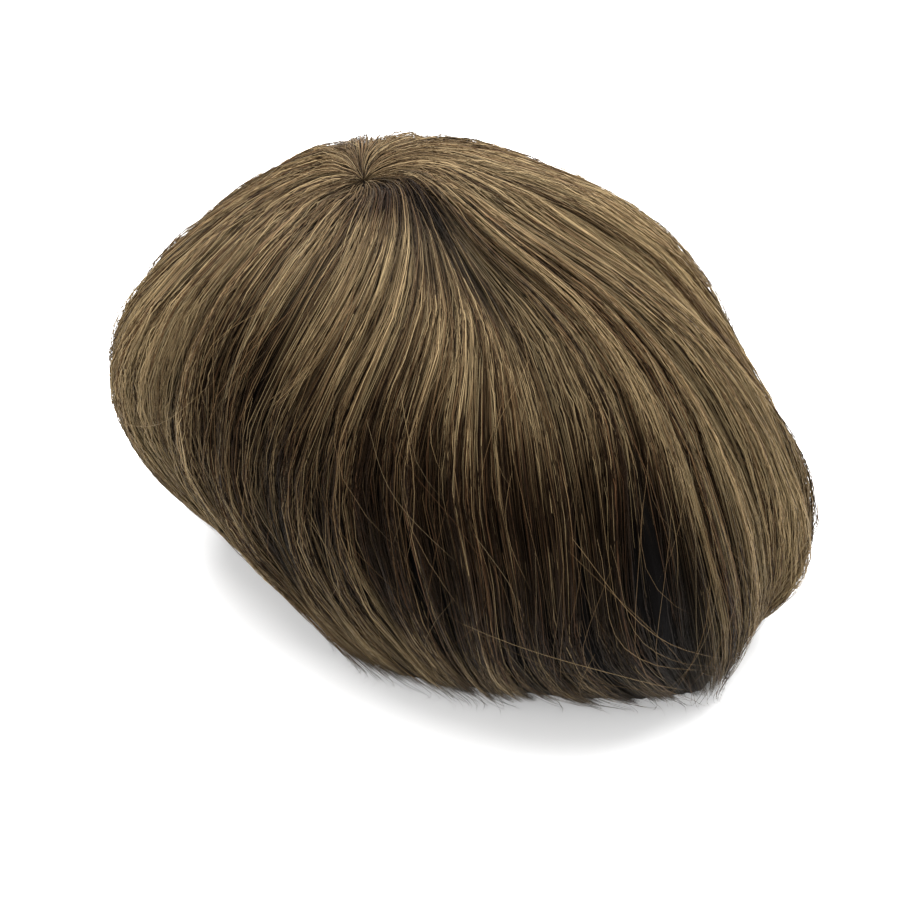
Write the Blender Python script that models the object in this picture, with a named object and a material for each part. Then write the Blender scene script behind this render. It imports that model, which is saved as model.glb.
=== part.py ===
"""Hairpiece for the top of the head: hair knotted to a thin domed base, standing on its hair tips.

Metres, +Z up. The front hairline faces -Y and the wearer's left is +X. A bearing is an angle in
degrees round the middle of the piece, seen from above: 0 is the front, 90 the wearer's left,
180 the back and 270 the wearer's right.
"""

import bmesh
import bpy
import numpy as np

# Base that the hair is knotted to: its plan size, its wall and the seat on top of the head
BASE_LENGTH = 0.212
BASE_WIDTH = 0.168
BASE_WALL = 0.0012
SEAT_RADIUS = 0.009

# Hair: how far it spreads past the base's edge, how high the crown stands, and its thickness
SPREAD_ENDS = 0.046
SPREAD_SIDES = 0.036
CROWN_HEIGHT = 0.186
HAIR_WALL = 0.013
TIP_WALL = 0.007

# Whorl: its place behind the middle and to the wearer's left, the swirl that fills it and the
# dimple round it
WHORL_BACK = 0.056
WHORL_LEFT = 0.016
SWIRL_RADIUS = 0.011
SWIRL_RIDGES = 6
SWIRL_TURN = 30.0
SWIRL_REACH = 0.028
DIMPLE_DEPTH = 0.006
DIMPLE_RADIUS = 0.026

# Clearances between one section of hair and the next, and between the hair and the base
SECTION_GAP = 0.0006
BASE_GAP = 0.0020

# Shape of the plan outline, and of the hanging part of each profile
OUTLINE_POWER = 2.3
HANG_POWER = 1.7
DRIFT_POWER = 1.3

# Rounding of the crown's top, as a share of the widest radius
CREST_ROUNDING = 0.22

# The hair form by bearing. reach is a share of the plain outline's radius there. belly is the
# height of the widest place, as a share of CROWN_HEIGHT. full is the power of the crown's curve.
# tuck is how far the tips turn in, as a share of the widest radius, and drift how far they
# sweep round, in degrees.
FORM = [
    {"bearing": 0, "reach": 0.98, "belly": 0.24, "full": 1.60, "tuck": 0.13, "drift": 0},
    {"bearing": 15, "reach": 1.03, "belly": 0.24, "full": 1.12, "tuck": 0.19, "drift": -5},
    {"bearing": 30, "reach": 0.94, "belly": 0.26, "full": 1.10, "tuck": 0.20, "drift": -8},
    {"bearing": 45, "reach": 0.94, "belly": 0.31, "full": 1.75, "tuck": 0.20, "drift": -7},
    {"bearing": 60, "reach": 0.98, "belly": 0.36, "full": 2.10, "tuck": 0.22, "drift": -5},
    {"bearing": 90, "reach": 0.98, "belly": 0.45, "full": 1.95, "tuck": 0.27, "drift": 0},
    {"bearing": 120, "reach": 0.98, "belly": 0.48, "full": 2.10, "tuck": 0.28, "drift": 0},
    {"bearing": 150, "reach": 1.00, "belly": 0.50, "full": 1.90, "tuck": 0.28, "drift": 0},
    {"bearing": 180, "reach": 1.00, "belly": 0.50, "full": 1.40, "tuck": 0.30, "drift": 0},
    {"bearing": 210, "reach": 1.04, "belly": 0.48, "full": 1.40, "tuck": 0.37, "drift": 0},
    {"bearing": 225, "reach": 0.95, "belly": 0.50, "full": 2.00, "tuck": 0.39, "drift": 0},
    {"bearing": 240, "reach": 0.94, "belly": 0.50, "full": 2.45, "tuck": 0.37, "drift": 0},
    {"bearing": 270, "reach": 0.95, "belly": 0.49, "full": 2.40, "tuck": 0.23, "drift": 2},
    {"bearing": 300, "reach": 0.97, "belly": 0.46, "full": 2.35, "tuck": 0.24, "drift": 5},
    {"bearing": 315, "reach": 0.98, "belly": 0.41, "full": 2.25, "tuck": 0.22, "drift": 9},
    {"bearing": 330, "reach": 1.00, "belly": 0.34, "full": 2.00, "tuck": 0.14, "drift": 10},
    {"bearing": 345, "reach": 1.00, "belly": 0.26, "full": 1.75, "tuck": 0.08, "drift": 4},
]

# Sections of hair, each from one bearing to the next, with the number of locks across it
SECTIONS = [
    {"name": "front_hair", "start": -22, "end": 22, "locks": 4},
    {"name": "left_temple_hair", "start": 22, "end": 62, "locks": 4},
    {"name": "left_side_hair", "start": 62, "end": 130, "locks": 5},
    {"name": "back_hair", "start": 130, "end": 212, "locks": 5},
    {"name": "right_side_hair", "start": 212, "end": 284, "locks": 5},
    {"name": "right_temple_hair", "start": 284, "end": 338, "locks": 4},
]

# Main valleys in the hair: bearing and half width in degrees, the stretch of the fall that they
# cover from the whorl at 0 to the tips at 1, and their depth as a share of the hair's thickness
VALLEYS = [
    {"bearing": 338, "width": 6, "from": 0.55, "to": 1.10, "depth": 0.55},
    {"bearing": 322, "width": 16, "from": 0.02, "to": 0.30, "depth": 0.35},
    {"bearing": 205, "width": 6, "from": 0.30, "to": 0.95, "depth": 0.35},
    {"bearing": 258, "width": 5, "from": 0.45, "to": 1.10, "depth": 0.30},
    {"bearing": 12, "width": 5, "from": 0.35, "to": 0.95, "depth": 0.30},
]

# Across one lock: the place of each column, how high the hair stands there, from the valley beside
# the lock at 0 to its crest at 1, and how much of TIP_CUT is cut from its tip. The two middle
# columns aren't cut: they reach the surface that the piece stands on.
LOCK_COLUMNS = [
    {"place": 0.00, "height": 0.00, "cut": 1.00},
    {"place": 0.16, "height": 0.62, "cut": 0.35},
    {"place": 0.38, "height": 1.00, "cut": 0.00},
    {"place": 0.62, "height": 1.00, "cut": 0.00},
    {"place": 0.84, "height": 0.62, "cut": 0.35},
]

# Locks: depth of the valleys between them as a share of the hair's thickness, how much of that
# depth they have at the whorl, how much their crests differ, and the share of the hanging hair
# that is cut away between their tips
RIDGE_DEPTH = 0.32
RIDGE_AT_WHORL = 0.25
LOCK_VARIETY = 0.12
TIP_CUT = 0.09
TIP_CUT_LEAST = 0.6
TIP_CUT_MOST = 1.4

# How finely the surfaces are divided. Rows crowd towards the whorl as CROWN_CROWDING grows.
CROWN_STEPS = 10
CROWN_CROWDING = 1.2
HANG_STEPS = 5
BASE_SPOKES = 36
BASE_RINGS = 6
SWIRL_SPOKES = 24
SWIRL_RINGS = 3

# Share of the fall from the whorl to the tips that lies above the widest place
CROWN_SHARE = CROWN_STEPS / (CROWN_STEPS + HANG_STEPS)

WHORL = np.array([WHORL_LEFT, WHORL_BACK])

# Multiples of this share, less their whole part, give each lock a value unlike its neighbours'
GOLDEN_SHARE = 0.618034

HAIR_BROWN = (0.19, 0.135, 0.085, 1.0)
BASE_TAN = (0.60, 0.45, 0.34, 1.0)


def form_value(column, bearing):
    """Reads one column of FORM at any bearing, on a smooth curve that closes on itself."""
    own = np.array([row["bearing"] for row in FORM], float)
    values = np.array([row[column] for row in FORM], float)
    angles = np.concatenate([own[-2:] - 360, own, own[:3] + 360])
    values = np.concatenate([values[-2:], values, values[:3]])
    slopes = np.zeros_like(values)
    slopes[1:-1] = (values[2:] - values[:-2]) / (angles[2:] - angles[:-2])
    at = np.asarray(bearing, float) % 360
    i = np.searchsorted(angles, at, side="right") - 1
    width = angles[i + 1] - angles[i]
    f = (at - angles[i]) / width
    return (
        (1 + 2 * f) * (1 - f) ** 2 * values[i]
        + f * (1 - f) ** 2 * width * slopes[i]
        + f * f * (3 - 2 * f) * values[i + 1]
        + f * f * (f - 1) * width * slopes[i + 1]
    )


def heading(bearing):
    """Unit vector in plan at a bearing."""
    angle = np.radians(bearing)
    return np.stack([np.sin(angle), -np.cos(angle)], -1)


def oval(bearing, half_width, half_length):
    """Radius of a rounded oval at a bearing."""
    angle = np.radians(bearing)
    across = np.abs(np.sin(angle) / half_width) ** OUTLINE_POWER
    along = np.abs(np.cos(angle) / half_length) ** OUTLINE_POWER
    return (across + along) ** (-1 / OUTLINE_POWER)


def base_edge(bearing):
    """Radius of the base's edge."""
    return oval(bearing, BASE_WIDTH / 2, BASE_LENGTH / 2)


def belly_radius(bearing, inset):
    """Radius of the hair's widest place, or of a surface that lies inset inside it."""
    half_width = BASE_WIDTH / 2 + SPREAD_SIDES
    half_length = BASE_LENGTH / 2 + SPREAD_ENDS
    return oval(bearing, half_width, half_length) * form_value("reach", bearing) - inset


def crown_height(plan, inset):
    """Height of the crown at points in plan, or of a surface that lies inset inside it."""
    x, y = plan[..., 0], plan[..., 1]
    bearing = np.degrees(np.arctan2(x, -y))
    share = np.clip(np.hypot(x, y) / belly_radius(bearing, inset), 0, 1)
    belly = form_value("belly", bearing) * CROWN_HEIGHT
    rise = CROWN_HEIGHT - inset - belly
    power = form_value("full", bearing)
    rounded = (share**2 + CREST_ROUNDING**2) ** (power / 2) - CREST_ROUNDING**power
    edge = (1 + CREST_ROUNDING**2) ** (power / 2) - CREST_ROUNDING**power
    return belly + rise * np.sqrt(1 - rounded / edge)


def dimple(plan):
    """How far the outer hair sinks round the whorl."""
    distance = np.linalg.norm(plan - WHORL, axis=-1)
    return DIMPLE_DEPTH * np.exp(-((distance / DIMPLE_RADIUS) ** 2))


def swirled(plan):
    """Points in plan, turned round the whorl the more the nearer they are to it."""
    offset = plan - WHORL
    distance = np.linalg.norm(offset, axis=-1)
    turn = np.radians(SWIRL_TURN) * np.exp(-((distance / SWIRL_REACH) ** 2))
    x = offset[..., 0] * np.cos(turn) - offset[..., 1] * np.sin(turn)
    y = offset[..., 0] * np.sin(turn) + offset[..., 1] * np.cos(turn)
    return WHORL + np.stack([x, y], -1)


def crown_points(bearing, share, inset):
    """Points on the fall of hair from the swirl's edge, at share 0, to the widest place, at 1."""
    end = heading(bearing) * belly_radius(bearing, inset)[..., None]
    run = end - WHORL
    first = np.arcsin(SWIRL_RADIUS / np.linalg.norm(run, axis=-1))
    angle = first + (np.pi / 2 - first) * share
    plan = swirled(WHORL + run * np.sin(angle)[..., None])
    height = crown_height(plan, inset)
    if inset == 0:
        height = height - dimple(plan)
    return np.concatenate([plan, height[..., None]], -1)


def hang_points(bearing, share, inset):
    """Points on the hanging hair from the widest place, at share 0, to the tips, at 1."""
    wall = inset * (1 + (TIP_WALL / HAIR_WALL - 1) * share)
    tuck = 1 - form_value("tuck", bearing) * share**HANG_POWER
    radius = belly_radius(bearing, 0) * tuck - wall
    height = form_value("belly", bearing) * CROWN_HEIGHT * (1 - share)
    swept = bearing + form_value("drift", bearing) * share**DRIFT_POWER
    plan = heading(swept) * radius[..., None]
    return np.concatenate([plan, height[..., None]], -1)


def fall_points(bearing, fall, inset):
    """Points on the fall of hair, from the whorl at fall 0 to the tips at 1."""
    crown = crown_points(bearing, np.clip(fall / CROWN_SHARE, 0, 1), inset)
    hang = hang_points(bearing, np.clip((fall - CROWN_SHARE) / (1 - CROWN_SHARE), 0, 1), inset)
    return np.where((fall < CROWN_SHARE)[..., None], crown, hang)


def valley_depth(bearing, fall):
    """Depth of the main valleys, as a share of the hair's thickness."""
    depth = np.zeros(np.broadcast(bearing, fall).shape)
    for row in VALLEYS:
        aside = (bearing - row["bearing"] + 180) % 360 - 180
        along = (fall - row["from"]) / (row["to"] - row["from"])
        swell = np.sin(np.pi * np.clip(along, 0, 1)) ** 2
        depth += row["depth"] * np.exp(-((aside / row["width"]) ** 2)) * swell
    return depth


def lock_table(section):
    """Bearing, ridge height and tip cut of each column of a section, as three arrays."""
    bearings, heights, cuts = [], [], []
    count = section["locks"]
    for lock in range(count):
        lift = LOCK_VARIETY * (2 * ((lock + count) * GOLDEN_SHARE % 1) - 1)
        own_cut = TIP_CUT_LEAST + (TIP_CUT_MOST - TIP_CUT_LEAST) * (lock * GOLDEN_SHARE % 1)
        for column in LOCK_COLUMNS:
            place = (lock + column["place"]) / count
            bearings.append(section["start"] + (section["end"] - section["start"]) * place)
            heights.append(column["height"] * (1 + lift))
            cuts.append(column["cut"] * own_cut * TIP_CUT)
    bearings.append(section["end"])
    heights.append(0.0)
    cuts.append(LOCK_COLUMNS[0]["cut"] * TIP_CUT)
    return np.array(bearings, float), np.array(heights), np.array(cuts)


def section_sheets(section):
    """Outer and inner points of a section of hair, as two grids of columns by rows."""
    bearings, heights, cuts = lock_table(section)
    crown = CROWN_SHARE * np.linspace(0, 1, CROWN_STEPS + 1) ** CROWN_CROWDING
    steps = np.concatenate([crown, np.linspace(CROWN_SHARE, 1, HANG_STEPS + 1)[1:]])
    lower = np.clip((steps - CROWN_SHARE) / (1 - CROWN_SHARE), 0, 1)
    fall = steps - (1 - CROWN_SHARE) * lower * cuts[:, None]
    bearing = np.broadcast_to(bearings[:, None], fall.shape)
    outer = fall_points(bearing, fall, 0.0)
    inner = fall_points(bearing, fall, HAIR_WALL)
    ridge = RIDGE_DEPTH * (RIDGE_AT_WHORL + (1 - RIDGE_AT_WHORL) * np.sin(np.pi / 2 * fall))
    sunk = ridge * (1 - heights[:, None]) + valley_depth(bearing, fall)
    outer = outer + (inner - outer) * sunk[..., None]
    for sheet in (outer, inner):
        open_section_gap(sheet)
    return outer, inner


def open_section_gap(sheet):
    """Moves the first and last columns of a section in by half the gap to its neighbour."""
    for edge, beside in ((0, 1), (-1, -2)):
        inward = sheet[beside] - sheet[edge]
        inward /= np.linalg.norm(inward, axis=-1, keepdims=True)
        sheet[edge] += inward * SECTION_GAP / 2


def ring_points(centre, radii):
    """Plan points on rings: radii holds a row for each ring and a column for each spoke."""
    angles = np.linspace(0, 360, radii.shape[1], endpoint=False)
    return centre + heading(angles) * radii[..., None]


def base_sheets():
    """Outer and inner points of the base, as two grids of rings by spokes."""
    angles = np.linspace(0, 360, BASE_SPOKES, endpoint=False)
    shares = np.linspace(0, 1, BASE_RINGS)[:, None]
    radii = SEAT_RADIUS + (base_edge(angles) - SEAT_RADIUS) * shares
    plan = ring_points(np.zeros(2), radii)
    sheets = []
    for inset in (HAIR_WALL + BASE_GAP, HAIR_WALL + BASE_GAP + BASE_WALL):
        height = crown_height(plan, inset)
        height[0] = height[0].min()
        sheets.append(np.concatenate([plan, height[..., None]], -1))
    return sheets


def swirl_sheets():
    """Top and bottom points of the swirl that fills the whorl, as two grids of rings by spokes."""
    radius = SWIRL_RADIUS - SECTION_GAP
    rings = np.linspace(radius / SWIRL_RINGS, radius, SWIRL_RINGS)[:, None]
    plan = swirled(ring_points(WHORL, np.repeat(rings, SWIRL_SPOKES, axis=1)))
    angles = np.linspace(0, 2 * np.pi, SWIRL_SPOKES, endpoint=False)
    bottom = crown_height(plan, HAIR_WALL)
    top = crown_height(plan, 0.0) - dimple(plan)
    wave = (1 - np.cos(SWIRL_RIDGES * angles)) / 2
    top = top + (bottom - top) * RIDGE_DEPTH * wave * rings / radius
    return (
        np.concatenate([plan, top[..., None]], -1),
        np.concatenate([plan, bottom[..., None]], -1),
    )


def sheet_faces(rows, columns, closed):
    """Quads between the points of a grid. A closed grid's last column joins its first."""
    faces = []
    for row in range(rows - 1):
        for column in range(columns if closed else columns - 1):
            beside = (column + 1) % columns
            faces.append(
                (
                    row * columns + column,
                    (row + 1) * columns + column,
                    (row + 1) * columns + beside,
                    row * columns + beside,
                )
            )
    return faces


def solid_between(name, outer, inner, closed, colour, roughness):
    """A closed solid between two grids of points: the outer sheet, extruded onto the inner one."""
    rows, columns = outer.shape[:2]
    mesh = bmesh.new()
    place = mesh.verts.layers.int.new("place")
    verts = [mesh.verts.new(point) for point in outer.reshape(-1, 3)]
    for index, vert in enumerate(verts):
        vert[place] = index
    for face in sheet_faces(rows, columns, closed):
        mesh.faces.new([verts[i] for i in face])
    if closed:
        mesh.faces.new(verts[:columns])
    made = bmesh.ops.extrude_face_region(mesh, geom=mesh.faces[:])
    targets = inner.reshape(-1, 3)
    for element in made["geom"]:
        if isinstance(element, bmesh.types.BMVert):
            element.co = targets[element[place]]
    bmesh.ops.recalc_face_normals(mesh, faces=mesh.faces[:])
    return finished_object(name, mesh, colour, roughness)


def finished_object(name, mesh, colour, roughness):
    """Puts a mesh into the scene under its name, with its material."""
    data = bpy.data.meshes.new(name)
    mesh.to_mesh(data)
    mesh.free()
    data.shade_smooth()
    material = bpy.data.materials.new(name)
    material.use_nodes = True
    shader = material.node_tree.nodes["Principled BSDF"]
    shader.inputs["Base Color"].default_value = colour
    shader.inputs["Roughness"].default_value = roughness
    data.materials.append(material)
    made = bpy.data.objects.new(name, data)
    bpy.context.scene.collection.objects.link(made)
    return made


def centre_on_footprint(pieces):
    """Moves all pieces so that the origin is the middle of the box round them, at its bottom."""
    corners = np.array([vert.co[:] for piece in pieces for vert in piece.data.vertices])
    low, high = corners.min(axis=0), corners.max(axis=0)
    shift = np.array([-(low[0] + high[0]) / 2, -(low[1] + high[1]) / 2, -low[2]])
    for piece in pieces:
        piece.location = shift


def main():
    for old in list(bpy.data.objects):
        bpy.data.objects.remove(old)
    pieces = [solid_between("base_cap", *base_sheets(), True, BASE_TAN, 0.6)]
    pieces.append(solid_between("crown_swirl", *swirl_sheets(), True, HAIR_BROWN, 0.5))
    for section in SECTIONS:
        outer, inner = section_sheets(section)
        pieces.append(solid_between(section["name"], outer, inner, False, HAIR_BROWN, 0.5))
    centre_on_footprint(pieces)


main()
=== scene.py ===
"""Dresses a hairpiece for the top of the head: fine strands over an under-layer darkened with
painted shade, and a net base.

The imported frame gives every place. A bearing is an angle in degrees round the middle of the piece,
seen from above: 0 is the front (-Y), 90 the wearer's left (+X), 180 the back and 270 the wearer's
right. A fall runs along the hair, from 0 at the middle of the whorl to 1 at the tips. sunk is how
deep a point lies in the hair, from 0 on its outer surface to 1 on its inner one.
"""

import bpy
import numpy as np
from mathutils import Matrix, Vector


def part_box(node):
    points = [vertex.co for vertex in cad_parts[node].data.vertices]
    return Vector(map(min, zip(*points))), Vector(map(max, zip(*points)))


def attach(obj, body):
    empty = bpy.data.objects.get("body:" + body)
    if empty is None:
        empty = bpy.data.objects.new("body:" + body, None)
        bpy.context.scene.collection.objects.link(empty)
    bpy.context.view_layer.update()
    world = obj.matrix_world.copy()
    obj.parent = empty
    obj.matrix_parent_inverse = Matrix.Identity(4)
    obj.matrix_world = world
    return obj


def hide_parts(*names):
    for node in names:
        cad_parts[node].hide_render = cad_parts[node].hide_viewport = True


bl_info = {
    "name": "Hairpiece",
    "version": (1, 0, 0),
    "blender": (4, 5, 0),
    "location": "3D View > Sidebar > Hairpiece",
    "description": "Builds a domed hairpiece in strands round its packed frame",
    "category": "Object",
}

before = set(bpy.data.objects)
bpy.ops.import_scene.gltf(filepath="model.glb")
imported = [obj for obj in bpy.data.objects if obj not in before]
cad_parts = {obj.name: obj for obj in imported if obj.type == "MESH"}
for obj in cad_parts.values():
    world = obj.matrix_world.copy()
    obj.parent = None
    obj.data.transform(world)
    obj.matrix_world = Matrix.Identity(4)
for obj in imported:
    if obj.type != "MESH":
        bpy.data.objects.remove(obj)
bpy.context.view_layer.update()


def named_rows(columns, *rows):
    """Rows of values by name. columns has the names, with spaces between them."""
    return [dict(zip(columns.split(), row)) for row in rows]


# The base's box gives the middle that bearings turn round, and the base's plan size
BASE_LOW, BASE_HIGH = (np.array(corner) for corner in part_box("base_cap"))
MIDDLE = np.array([(BASE_LOW[0] + BASE_HIGH[0]) / 2, (BASE_LOW[1] + BASE_HIGH[1]) / 2, 0.0])
BASE_WIDTH, BASE_LENGTH = (BASE_HIGH - BASE_LOW)[:2]
SWIRL_LOW, SWIRL_HIGH = (np.array(corner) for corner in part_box("crown_swirl"))
WHORL = ((SWIRL_LOW + SWIRL_HIGH) / 2 - MIDDLE)[:2]
SWIRL_RADIUS = (SWIRL_HIGH - SWIRL_LOW)[0] / 2

# Hair: its thickness over the base and at the tips, how far it lies from the base, and how far it
# bulges past the base at the ends and the sides. The base's flat top is a little below its curve.
HAIR_WALL = 0.013
TIP_WALL = 0.007
BASE_GAP = 0.0020
BASE_WALL = 0.0012
BASE_FLAT = 0.0004
SPREAD_ENDS = 0.046
SPREAD_SIDES = 0.036
CROWN_HEIGHT = BASE_HIGH[2] + HAIR_WALL + BASE_GAP + BASE_FLAT

# Shape of the plan outline and of each profile, and the swirl and dimple round the whorl
OUTLINE_POWER = 2.3
HANG_POWER = 1.7
DRIFT_POWER = 1.3
CREST_ROUNDING = 0.22
CROWN_SHARE = 2 / 3
SWIRL_TURN = 30.0
SWIRL_REACH = 0.028
DIMPLE_DEPTH = 0.006
DIMPLE_RADIUS = 0.026

# The hair form by bearing. reach is a share of the plain outline's radius there. belly is the
# height of the widest place, as a share of CROWN_HEIGHT. full is the power of the crown's curve.
# tuck is how far the tips turn in, as a share of the widest radius, and drift how far they
# sweep round, in degrees.
FORM = named_rows(
    "bearing reach belly full tuck drift",
    (  0, 0.98, 0.24, 1.60, 0.13,  0),
    ( 15, 1.03, 0.24, 1.12, 0.19, -5),
    ( 30, 0.94, 0.26, 1.10, 0.20, -8),
    ( 45, 0.94, 0.31, 1.75, 0.20, -7),
    ( 60, 0.98, 0.36, 2.10, 0.22, -5),
    ( 90, 0.98, 0.45, 1.95, 0.27,  0),
    (120, 0.98, 0.48, 2.10, 0.28,  0),
    (150, 1.00, 0.50, 1.90, 0.28,  0),
    (180, 1.00, 0.50, 1.40, 0.30,  0),
    (210, 1.04, 0.48, 1.40, 0.37,  0),
    (225, 0.95, 0.50, 2.00, 0.39,  0),
    (240, 0.94, 0.50, 2.45, 0.37,  0),
    (270, 0.95, 0.49, 2.40, 0.23,  2),
    (300, 0.97, 0.46, 2.35, 0.24,  5),
    (315, 0.98, 0.41, 2.25, 0.22,  9),
    (330, 1.00, 0.34, 2.00, 0.14, 10),
    (345, 1.00, 0.26, 1.75, 0.08,  4),
)

# Sections of hair, each from one bearing to the next: locks across it, and strands for each
# millimetre round its widest place
SECTIONS = named_rows(
    "name start end locks strands",
    ("front_hair",        -22,  22, 4, 18),
    ("left_temple_hair",   22,  62, 4, 13),
    ("left_side_hair",     62, 130, 5, 11),
    ("back_hair",         130, 212, 5, 12),
    ("right_side_hair",   212, 284, 5, 18),
    ("right_temple_hair", 284, 338, 4, 20),
)

# Main valleys in the hair, and swells, which have a depth below 0: bearing and half width in
# degrees, the stretch of the fall that they cover, and their depth as a share of the thickness
VALLEYS = named_rows(
    "bearing width from to depth",
    (338,  6, 0.55, 1.10,  0.55),
    (322, 16, 0.02, 0.30,  0.35),
    (205,  6, 0.30, 0.95,  0.35),
    (258,  5, 0.45, 1.10,  0.30),
    ( 12,  5, 0.35, 0.95,  0.30),
    (  9, 11, 0.42, 0.96, -0.44),
    ( 30,  8, 0.16, 0.54, -0.28),
    (211,  9, 0.26, 0.74, -0.30),
    (140, 50, 0.00, 0.34, -0.20),
)

# How strands lean as they fall, in degrees of bearing for each whole arc length, at places from
# the roots to the tips. LEAN_ARCS has those places as shares of the arc.
LEAN_ARCS = {
    "root": 0.1, "crown": 0.2, "slope": 0.3, "brow": 0.4,
    "turn": 0.5, "belly": 0.6, "hang": 0.8, "tips": 1.0,
}
LEAN = named_rows(
    "bearing root crown slope brow turn belly hang tips",
    (  0, -150, -100,   50,   20, -10, -15, -14, -50),
    ( 20, -200, -120,   40,   30, -60, -35, -30, -20),
    ( 40, -260, -120, -150,   30,  10,   0,   0,   0),
    ( 60, -350, -220, -200,  -60,   0,   0,   0,   0),
    ( 90, -200,  -80,  -40,    0,   0,   0,   0,   0),
    (120,    0,    0,    0,    0,   0,   0,   0,   0),
    (150,  250,  100,   50,   10,   0,   0,   0,   0),
    (180,  450,  200,  120,   40,  15,   0,   0,   0),
    (200,  420,  210,  130,   55,  15,  10, -10,  10),
    (220,  270,   90,   25,   25,  -5,  25,   0,  30),
    (240,  190,   45,  -10,   -5,  15,  35,  70,  70),
    (260,  140,  -25,  -65,  -80, -55,   5,  45, 120),
    (280,  100,  -80, -115, -115, -45,  18,  60, 100),
    (300,   30, -140,  -95, -120, -50,  25,   5,  55),
    (320,  -80, -115,  -35,  -35, -32, -20,  18,  70),
    (340,  -60,  -85,   45,    0, -42, -42,  34,  25),
)

# Partings, each a line across the strands: the strand that it lies on at its start and at its end,
# by that strand's bearing at the belly, the stretch of the arc, its half width in degrees, how many
# degrees the strands beside it move apart, how much painted shade darkens them there, and how much
# deeper they lie there
PARTINGS = named_rows(
    "start end from to width push dark deep",
    (292, 320, 0.04, 0.23, 13, 7, 1.30, 0.42),
    (300, 327, 0.12, 0.52,  5, 1, 0.30, 0.08),
    (333, 338, 0.48, 0.96,  6, 4, 1.15, 0.34),
    (318, 322, 0.55, 0.95,  2, 1, 0.25, 0.10),
)

# Painted shade and painted highlights on the hair, with some darker and lighter locks: bearing and
# half width in degrees, the place and half length as shares of the arc, and the shift of tone
PAINTED_LIGHT_AND_TONES = named_rows(
    "bearing width arc spread shift",
    (301, 28, 0.68, 0.19, -0.84),
    (326, 13, 0.76, 0.15, -0.40),
    (268, 16, 0.59, 0.18, -0.38),
    (290, 34, 0.33, 0.14,  0.10),
    (322, 18, 0.44, 0.10,  0.26),
    (236,  8, 0.42, 0.12, -0.20),
    (253, 10, 0.48, 0.12, -0.28),
    (225,  6, 0.51, 0.23,  0.62),
    (215,  3, 0.38, 0.10, -0.24),
    (209,  8, 0.50, 0.17,  0.50),
    (252,  9, 0.24, 0.12,  0.34),
    (220, 12, 0.20, 0.10,  0.20),
    (289,  9, 0.85, 0.11,  0.56),
    ( 34, 14, 0.50, 0.12,  0.26),
    (352,  7, 0.46, 0.10, -0.18),
    (  0, 22, 0.62, 0.18,  0.06),
    (  7, 17, 0.72, 0.20,  0.50),
    ( 35, 30, 0.28, 0.18,  0.34),
    (270, 62, 0.98, 0.12,  0.48),
    (285, 40, 0.09, 0.06, -0.44),
)

# Locks: depth of the valleys between them as a share of the hair's thickness, how much of that
# depth they have at the whorl, and how square their crests are
RIDGE_DEPTH = 0.30
RIDGE_AT_WHORL = 0.25
RIDGE_SQUARENESS = 0.7

# Where the strands' bearings are counted, as a share of the arc
BELLY_ARC = 0.6

# The two triangles of a square, as corner numbers
HALVES = [0, 1, 2, 0, 2, 3]

# Loose hairs that stand out: bearing in degrees, share of the arc and height in millimetres at
# each end, bow in degrees and lift in millimetres at the middle, how many lie together and how
# many degrees they spread
STRAYS = named_rows(
    "from to bow lift count spread",
    ((214, 0.62, 1), (243, 0.44, 1),  3, 2, 1,   0),
    ((283, 0.47, 1), (300, 0.64, 3), -3, 2, 1,   0),
    ((303, 0.60, 2), (309, 0.70, 3),  2, 1, 1,   0),
    ((278, 0.31, 0), (257, 0.47, 0),  2, 1, 9, 1.2),
    ((300, 0.72, 1), (333, 0.90, 2),  3, 2, 2,   2),
    ((322, 0.62, 1), (338, 0.86, 2), -3, 2, 4, 2.5),
    ((345, 0.66, 1), (331, 0.90, 2),  2, 1, 3,   2),
    ((214, 0.42, 0), (211, 0.56, 0), -1, 1, 5,   1),
    ((219, 0.55, 0), (222, 0.78, 0), -2, 1, 5, 1.5),
    ( (30, 0.40, 0),  (14, 0.62, 1),  2, 1, 6,   5),
    ((112, 0.10, 0),  (90, 0.30, 2),  4, 1, 6,   6),
    ((170, 0.12, 0), (196, 0.32, 2),  3, 1, 5,   5),
)

# Strands are tubes: how many sides, how many rings a long and a short one have, the most that a
# ring or a tuft's edge moves as a share of its step, and the height that keeps them off the floor
STRAND_SIDES = 3
LONG_RINGS = 11
SHORT_RINGS = 7
SHUFFLE = 0.35
FLOOR_GAP = 0.0004

# Width of a strand at its root, and of a strand and a loose hair just before the tip, as shares of
# its full width, how widths differ, and where the taper ends at the root and starts at the tip
ROOT_WIDTH = 0.5
STRAND_TIP = 0.45
STRAY_TIP = 0.5
WIDTH_SPREAD = (0.75, 1.25)
ROOT_TAPER = 0.08
TIP_TAPER = 0.65

# Height of the place that strands face away from, as a share of CROWN_HEIGHT, and the free margin
# round each strand in its cell of the bake's map
OUTWARD_FROM = 0.3
CELL_MARGIN = 0.12

# Pairs are the ends of an even spread, or the shape and scale of a lopsided one, and single values
# the width of a bell curve.
#
# Tufts: how far each closes on its middle, how its tips sway in degrees, how deep it lies, its
# tone, how much it is cut short as a share of the arc, and how much deeper its edges lie
TUFT_PINCH = (0.2, 0.75)
TUFT_SWAY = 0.9
TUFT_LAYER = (-0.06, 0.18)
TUFT_TONE = 0.15
TUFT_CUT = (0.9, 0.008)
TUFT_EDGE = 0.20

# Strands: where long ones start in metres from the whorl, and where short ones start as shares of
# the arc, how far they end from the floor in metres, how many long ones fade into the hair and
# where, and how deep strands lie
LONG_START = (0.008, 0.034)
SHORT_START = (0.06, 0.66)
END_CUT = (1.2, 0.0018)
FADING_SHARE = 0.3
FADING_END = (0.6, 0.95)
LAYER = 0.40
ROOT_SUNK = 0.5
FADED_SUNK = 0.4

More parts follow.
